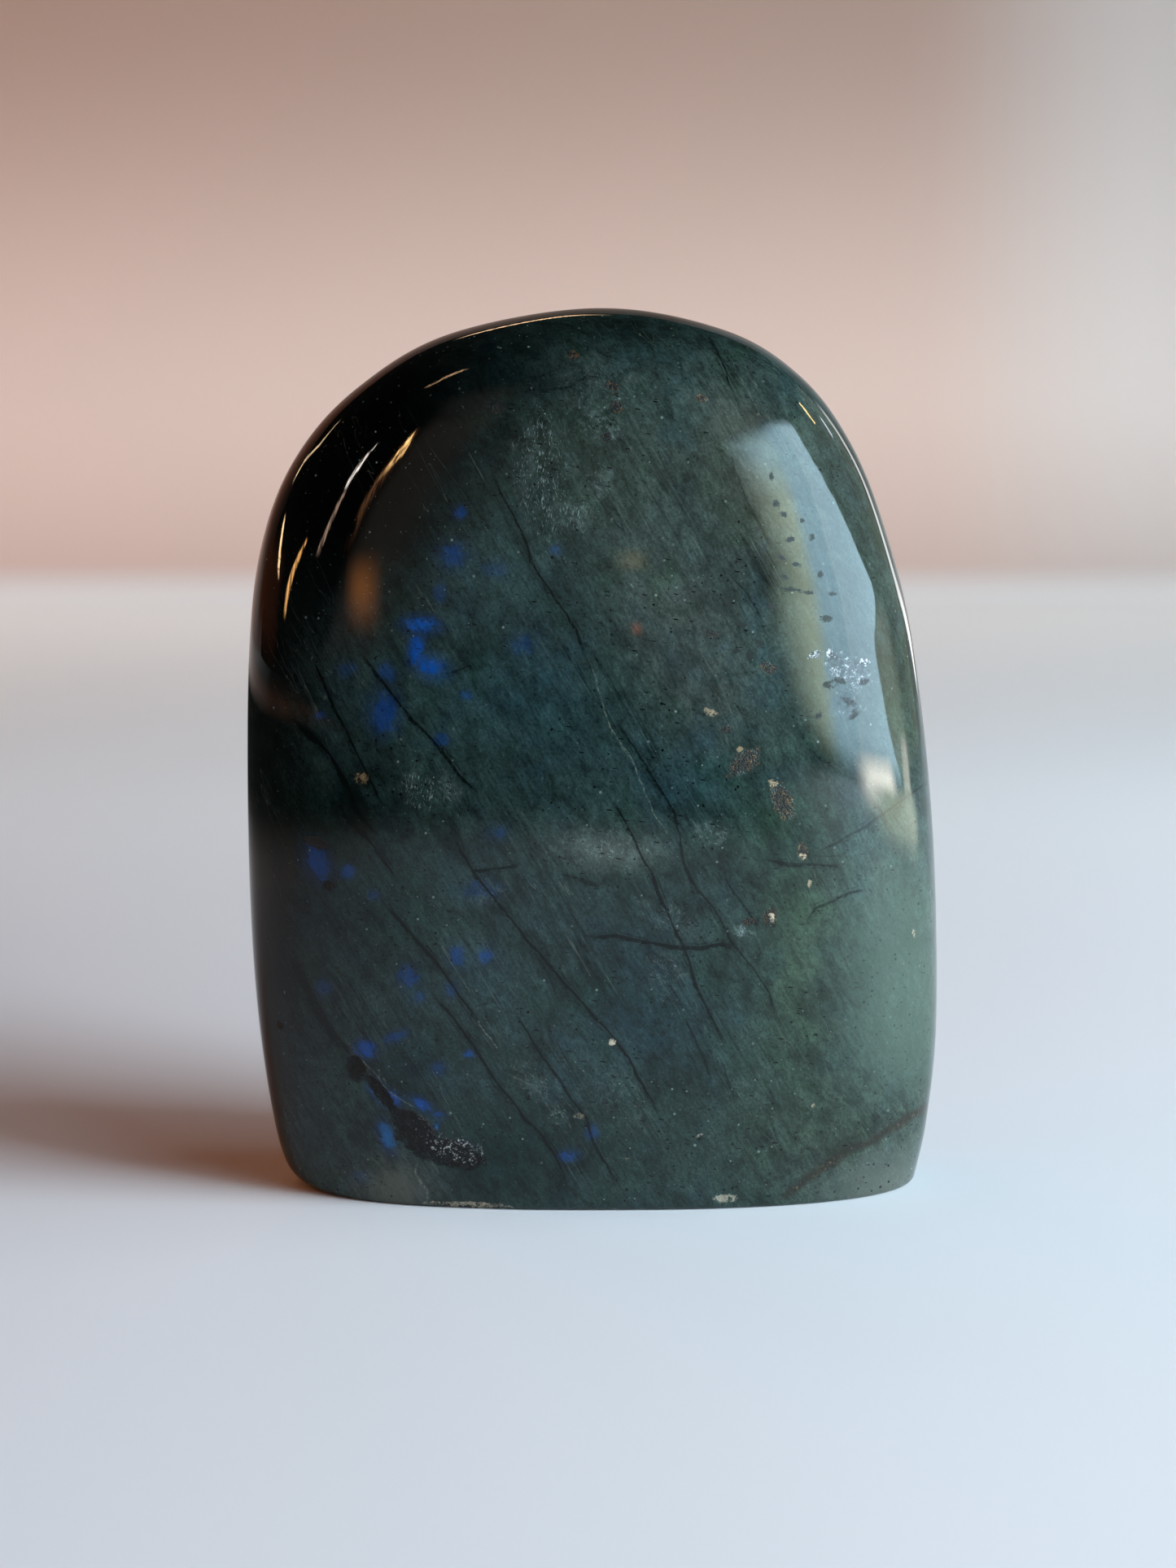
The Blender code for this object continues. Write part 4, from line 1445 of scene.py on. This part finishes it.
WINDOW = Glow(
    "window", ((-4.2, 43.0, 92.0), (-3.0, 40.0, 92.0), (-1.0, 35.0, 86.0), (1.0, 30.0, 82.0),
    (4.0, 28.0, 79.5), (7.0, 27.0, 79.0), (10.0, 27.0, 86.0), (13.0, 29.0, 90.5), (16.0, 28.0, 86.0),
    (20.0, 26.0, 79.0), (24.0, 24.0, 74.0), (30.0, 23.0, 71.0), (34.0, 32.0, 71.0), (38.0, 43.0, 71.5),
    (40.5, 48.0, 70.0)),
    (0.58, 0.85, 1.0), 15.5, fade=(19.0, 1.4, 4.0, 3.4), distance=800.0, eye=RIGHT_EYE,
)
GLOWS = (
    Glow(
        "window_veil", ((31.0, 18.0, 34.0), (38.0, 22.0, 50.0), (41.5, 30.0, 62.0)),
        (0.78, 1.0, 0.92), 1.3, fade=(9.0, 6.0, 4.0, 1.6), distance=820.0, eye=RIGHT_EYE,
    ),
    Glow(
        "window_skirt", ((-3.0, 76.0, 112.0), (4.0, 74.0, 106.0), (12.0, 78.0, 104.0)),
        (0.86, 1.0, 0.80), 3.6, fade=(1.0, 17.0, 1.0, 3.0), distance=830.0, eye=RIGHT_EYE,
    ),
    Glow(
        "foot_glint", ((-6.4, 56.0, 90.0), (-0.6, 54.0, 84.0)),
        (1.0, 0.99, 0.90), 26.0, fade=(11.0, 9.0, 3.0, 1.8), distance=300.0, eye=RIGHT_EYE, step=1.0,
    ),
    Glow(
        "edge_streak", ((-4.6, 90.0, 104.0), (0.8, 93.0, 103.0)),
        (1.0, 1.0, 0.86), 8.0, fade=(4.0, 4.0, 1.5, 1.5), distance=420.0, eye=RIGHT_EYE,
    ),
    Glow(
        "table_sheen", ((-9.6, 64.0, 112.0), (-6.0, 58.0, 114.0), (-3.0, 58.0, 108.0)),
        (0.90, 1.0, 0.80), 8.0, fade=(18.0, 14.0, 3.6, 1.4), distance=265.0, eye=RIGHT_EYE,
    ),
    Glow(
        "rim_strip", ((-6.0, 148.0, 161.0), (-4.0, 148.0, 160.0), (-2.0, 145.0, 157.0), (0.0, 142.0, 154.0),
        (6.0, 132.0, 143.0), (12.0, 132.0, 141.0), (21.0, 131.0, 139.0), (30.0, 129.0, 136.0)),
        (1.0, 0.97, 0.93), 4.6, fade=(1.5, 5.0, 2.0, 4.0),
    ),
    Glow(
        "olive_wall", ((-6.0, 66.0, 131.0), (40.0, 66.0, 131.0)),
        (0.90, 1.0, 0.74), 0.8, fade=(0.0, 4.0, 2.0, 5.0), distance=1300.0,
    ),
    Glow(
        "gold_glint", ((34.5, 98.4, 100.6), (39.5, 98.4, 101.2)),
        (1.0, 0.72, 0.28), 26.0,
    ),
    Glow(
        "white_glint", ((28.0, 114.0, 117.0), (32.0, 114.6, 118.0)),
        (0.86, 0.88, 1.0), 10.0,
    ),
    Glow(
        "orange_streak", ((22.0, -43.4, -42.2), (25.0, -42.2, -39.6), (28.0, -40.8, -37.6),
        (31.0, -40.0, -37.0), (34.0, -39.4, -38.0), (37.0, -39.2, -38.8)),
        (1.0, 0.58, 0.22), 66.0, fade=(0.5, 0.8, 9.0, 2.5), eye=LEFT_EYE, step=1.0, strands=True,
    ),
    Glow(
        "orange_tail", ((12.0, -49.0, -45.0), (24.0, -43.6, -38.4), (30.0, -41.0, -36.0),
        (38.0, -40.0, -37.0)),
        (1.0, 0.44, 0.20), 3.4, fade=(1.5, 2.5, 8.0, 5.0), distance=1270.0, eye=LEFT_EYE, step=1.0,
        strands=True,
    ),
    Glow(
        "white_streak", ((23.0, -56.6, -55.4), (27.5, -56.6, -54.0), (31.0, -55.6, -53.6),
        (34.5, -53.2, -52.4)),
        (1.0, 0.90, 0.82), 46.0, fade=(0.3, 0.3, 1.5, 1.5), eye=LEFT_EYE, step=1.0, strands=True,
    ),
    Glow(
        "faint_streak", ((12.0, -62.6, -60.2), (18.0, -58.6, -56.0), (23.5, -56.0, -54.6)),
        (1.0, 0.66, 0.48), 12.0, fade=(0.3, 0.3, 2.0, 2.0), eye=LEFT_EYE, step=1.0, strands=True,
    ),
    Glow(
        "rim_streak", ((20.0, -121.0, -118.0), (25.0, -124.6, -120.6), (31.0, -116.4, -113.0),
        (37.5, -119.6, -117.6)),
        (1.0, 0.72, 0.42), 15.0, fade=(0.5, 0.5, 2.0, 2.0), eye=LEFT_EYE, step=1.0, strands=True,
    ),
    Glow(
        "side_streak", ((8.0, -93.4, -91.0), (11.0, -98.0, -94.2), (13.0, -101.0, -97.0),
        (17.0, -106.6, -104.0)),
        (1.0, 0.66, 0.34), 26.0, fade=(0.5, 0.5, 1.0, 1.0),
    ),
    Glow(
        "low_streak", ((4.0, -82.0, -79.8), (8.0, -81.4, -77.4), (11.0, -78.4, -74.6),
        (15.5, -72.0, -70.0)),
        (1.0, 0.50, 0.16), 34.0, fade=(0.5, 0.5, 1.0, 1.0), step=1.0, strands=True,
    ),
    Glow(
        "high_streak", ((51.0, -61.0, -57.6), (56.0, -57.4, -53.0), (61.0, -54.0, -50.0)),
        (1.0, 0.60, 0.32), 24.0, fade=(0.5, 0.5, 1.5, 2.0), step=1.0, strands=True,
    ),
    Glow(
        "crown_glint", ((44.0, -182.0, -158.0), (46.0, -182.0, -158.0)),
        (1.0, 0.62, 0.36), 9.0, fade=(6.0, 6.0, 0.6, 0.6),
    ),
    Glow(
        "amber_lamp", ((2.4, -46.0, -31.5), (13.6, -47.0, -32.5)),
        (1.0, 0.37, 0.11), 4.6, fade=(7.0, 7.0, 5.6, 5.6), eye=LEFT_EYE, step=0.5,
    ),
    Glow(
        "yellow_card", ((10.6, 1.2, 6.8), (13.4, 1.2, 6.8)),
        (1.0, 0.82, 0.42), 2.6, fade=(2.8, 2.8, 1.4, 1.4), step=0.4,
    ),
    Glow(
        "red_card", ((4.4, 3.4, 5.6), (6.2, 3.4, 5.6)),
        (1.0, 0.30, 0.14), 4.2, fade=(1.1, 1.1, 0.9, 0.9), step=0.3,
    ),
    Glow(
        "grey_wall", ((-1.0, -60.0, -31.0), (5.0, -53.0, -28.0), (10.0, -50.0, -26.0), (15.0, -47.0, -22.0),
        (24.0, -42.5, -18.0), (36.0, -39.5, -12.0), (46.0, -40.0, -6.0)),
        (1.0, 0.84, 0.70), 0.36, fade=(7.0, 10.0, 8.0, 12.0), distance=1300.0,
    ),
    Glow(
        "front_wall", ((-2.0, -60.0, 36.0), (40.0, -26.0, 32.0)),
        (0.95, 0.95, 0.86), 0.26, fade=(30.0, 14.0, 12.0, 16.0), distance=1310.0,
    ),
    # Painted shade in reflections: a dim sheet that stands for the shaded table and room in front of the
    # stone.
    Glow(
        "front_shade_sheet", ((-12.2, -150.0, 48.0), (0.4, -150.0, 48.0)),
        (0.5, 0.6, 0.55), 0.04, fade=(4.0, 26.0, 5.4, 0.6), distance=208.0,
    ),
    Glow(
        "brown_wall", ((-1.0, -131.0, -86.0), (14.0, -128.0, -84.0)),
        (1.0, 0.30, 0.14), 0.24, fade=(12.0, 8.0, 4.0, 5.0),
    ),
    Glow(
        "day_light", ((1.0, 54.0, 82.0), (46.0, 54.0, 82.0)),
        (0.80, 0.95, 1.0), 13.2, distance=800.0, seen=Seen.SPREAD, step=6.0,
    ),
    Glow(
        "day_spill", ((1.0, 38.0, 104.0), (46.0, 38.0, 104.0)),
        (0.80, 0.95, 1.0), 2.8, distance=820.0, seen=Seen.SPREAD, step=6.0,
    ),
    Glow(
        "warm_fill", ((4.0, -150.0, -50.0), (60.0, -150.0, -50.0)),
        (1.0, 0.33, 0.11), 0.62, distance=1400.0, seen=Seen.SPREAD, step=12.0,
    ),
)


@dataclass(frozen=True)
class Studio:
    """The pale table, the backdrop behind it, and the room's light.

    The reach is how far the table goes to each side, and the bend is the quarter circle into the backdrop. A
    span is where a change of colour or glow begins and ends, by height, to the right, or back from the stone.
    """

    table_reach: float = 2600.0
    table_front: float = -700.0
    bend_start: float = 1000.0
    bend_radius: float = 120.0
    wall_height: float = 1055.0
    sheet_columns: int = 41
    table_rows: int = 30
    bend_rows: int = 25
    sheet_roughness: float = 0.55
    foot_span: Place = (0.5, 22.0)
    painted_shade_span: Place = (60.0, 360.0)
    side_span: Place = (170.0, 330.0)
    middle_span: Place = (60.0, 330.0)
    far_span: Place = (280.0, 1000.0)
    table_colour: Colour = screen(230, 234, 244)
    wall_colour: Colour = screen(240, 206, 190)
    side_colour: Colour = screen(236, 226, 222)
    middle_glow: Colour = (0.12, 0.155, 0.165)
    far_glow: Colour = (0.38, 0.40, 0.40)
    wall_glow: Colour = (0.22, 0.21, 0.21)
    painted_shade_colour: Colour = screen(206, 176, 162)
    room_colour: Colour = (0.012, 0.011, 0.010)
    sky_colour: Colour = screen(216, 210, 206)
    cream_light: Colour = (0.60, 0.73, 0.56)
    pale_light: Colour = (0.50, 0.76, 0.84)
    near_light: Colour = (0.46, 0.73, 0.88)
    seam_light: Colour = (0.72, 0.95, 1.0)
    window: Glow = WINDOW
    glows: tuple[Glow, ...] = GLOWS

    def window_light(self, bench: Bench) -> bpy.types.NodeSocket:
        """The window's light by azimuth: cream at its near side, then two breadths of blue with pale edges.

        Args:
            bench: the panel's bench.

        Returns:
            The colour.
        """
        uv = bench.node("ShaderNodeUVMap", {"uv_map": "panel"}).outputs[0]
        azimuth, elevation, _ = bench.parts(uv)
        streak = bench.noise(uv, 9.0, 3.0, 0.6) - 0.5
        across = azimuth + streak * 0.02
        near = bench.mix(elevation.rise(0.18, 0.29), self.cream_light, self.pale_light)
        blue = bench.mix(across.rise(0.57, 0.62), self.near_light, self.window.colour)
        seam = abs(across - 0.60).rise(0.012, 0.0).at_least(abs(across - 0.535).rise(0.008, 0.0) * 0.6)
        blue = bench.mix(seam * 0.5, blue, self.seam_light)
        return bench.mix(across.rise(0.43, 0.51), near, blue)

    def sheet(self, name: str, along: np.ndarray, up: np.ndarray) -> bpy.types.Object:
        """One smooth sheet of the set, straight from side to side.

        Args:
            name: its name.
            along: how far back each of its rows is.
            up: how high each row is.

        Returns:
            The sheet.
        """
        x = np.linspace(-self.table_reach, self.table_reach, self.sheet_columns)
        points = np.stack(np.broadcast_arrays(x, along[:, None], up[:, None]), axis=-1)
        mesh = bpy.data.meshes.new(name)
        faces = grid_faces(along.size, x.size)
        mesh.from_pydata((points.reshape(-1, 3) * MM).tolist(), [], faces.tolist())
        mesh.shade_smooth()
        mesh.materials.append(self.paint(name))
        sheet = bpy.data.objects.new(name, mesh)
        bpy.context.scene.collection.objects.link(sheet)
        return sheet

    def paint(self, name: str) -> bpy.types.Material:
        """The set's plain paint, which changes from the table to the wall where the sheet leaves the level.

        The wall is darker higher up, which is painted shade, and paler at its right. Both glow faintly, the
        table more farther back.

        Args:
            name: the material's name.

        Returns:
            The material.
        """
        bench = Bench(bpy.data.materials.new(name))
        wide, deep, height = bench.parts(bench.place())
        foot = height.rise(*self.foot_span)
        # Painted shade: the wall darkens towards its top.
        high = height.rise(*self.painted_shade_span)
        wall = bench.mix(high, self.wall_colour, self.painted_shade_colour)
        wall = bench.mix(wide.rise(*self.side_span), wall, self.side_colour)
        wall_glow = bench.mix(high, self.wall_glow, BLACK)
        glow = bench.mix(deep.rise(*self.middle_span), BLACK, self.middle_glow)
        glow = bench.mix(deep.rise(*self.far_span), glow, self.far_glow)
        glow = bench.mix(foot, glow, wall_glow)
        colour = bench.mix(foot, self.table_colour, wall)
        shader = bench.node(
            "ShaderNodeBsdfPrincipled", Base_Color=colour, Roughness=self.sheet_roughness,
            Emission_Color=glow, Emission_Strength=1.0,
        )
        bench.node("ShaderNodeOutputMaterial", Surface=shader.outputs[0])
        return bench.owner

    def table(self) -> None:
        """The flat table, and the backdrop that rises from its far side through a quarter circle."""
        flat = np.linspace(self.table_front, self.bend_start, self.table_rows)
        self.sheet("table", flat, np.zeros(self.table_rows))
        bend = np.radians(np.linspace(0, 90, self.bend_rows))
        along = self.bend_start + self.bend_radius * np.append(np.sin(bend), 1.0)
        up = np.append(self.bend_radius * (1 - np.cos(bend)), self.wall_height)
        self.sheet("backdrop", along, up).visible_diffuse = False

    def room(self) -> None:
        """The room's dim light from every side, which the camera sees as a plain pale backdrop."""
        bench = Bench(bpy.data.worlds.new("room"))
        seen = bench.node("ShaderNodeLightPath").outputs["Is Camera Ray"]
        dim, pale = (
            bench.node("ShaderNodeBackground", Color=colour).outputs[0]
            for colour in (self.room_colour, self.sky_colour)
        )
        light = bench.node("ShaderNodeMixShader", input_0=seen, input_1=dim, input_2=pale).outputs[0]
        bench.node("ShaderNodeOutputWorld", Surface=light)
        bpy.context.scene.world = bench.owner

    def build(self) -> None:
        """Makes the table, the window, the glows and the room."""
        self.table()
        self.window.make(self.window_light)
        for glow in self.glows:
            glow.make()
        self.room()
        bpy.context.scene.view_settings.view_transform = "Standard"


def main() -> None:
    """Builds the stone, the studio and the camera, and logs the stone's mesh size and the number of glows."""
    logging.basicConfig(level=logging.INFO, format="%(message)s")
    stone = LabradoriteStone()
    piece = stone.build()
    stone.dress(piece)
    LOG.info("%s: %d vertices, %d faces", piece.name, len(piece.data.vertices), len(piece.data.polygons))
    studio = Studio()
    studio.build()
    LOG.info("studio: table, window and %d glows", len(studio.glows))
    stone.camera.make()
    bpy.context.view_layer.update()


if __name__ == "__main__":
    main()
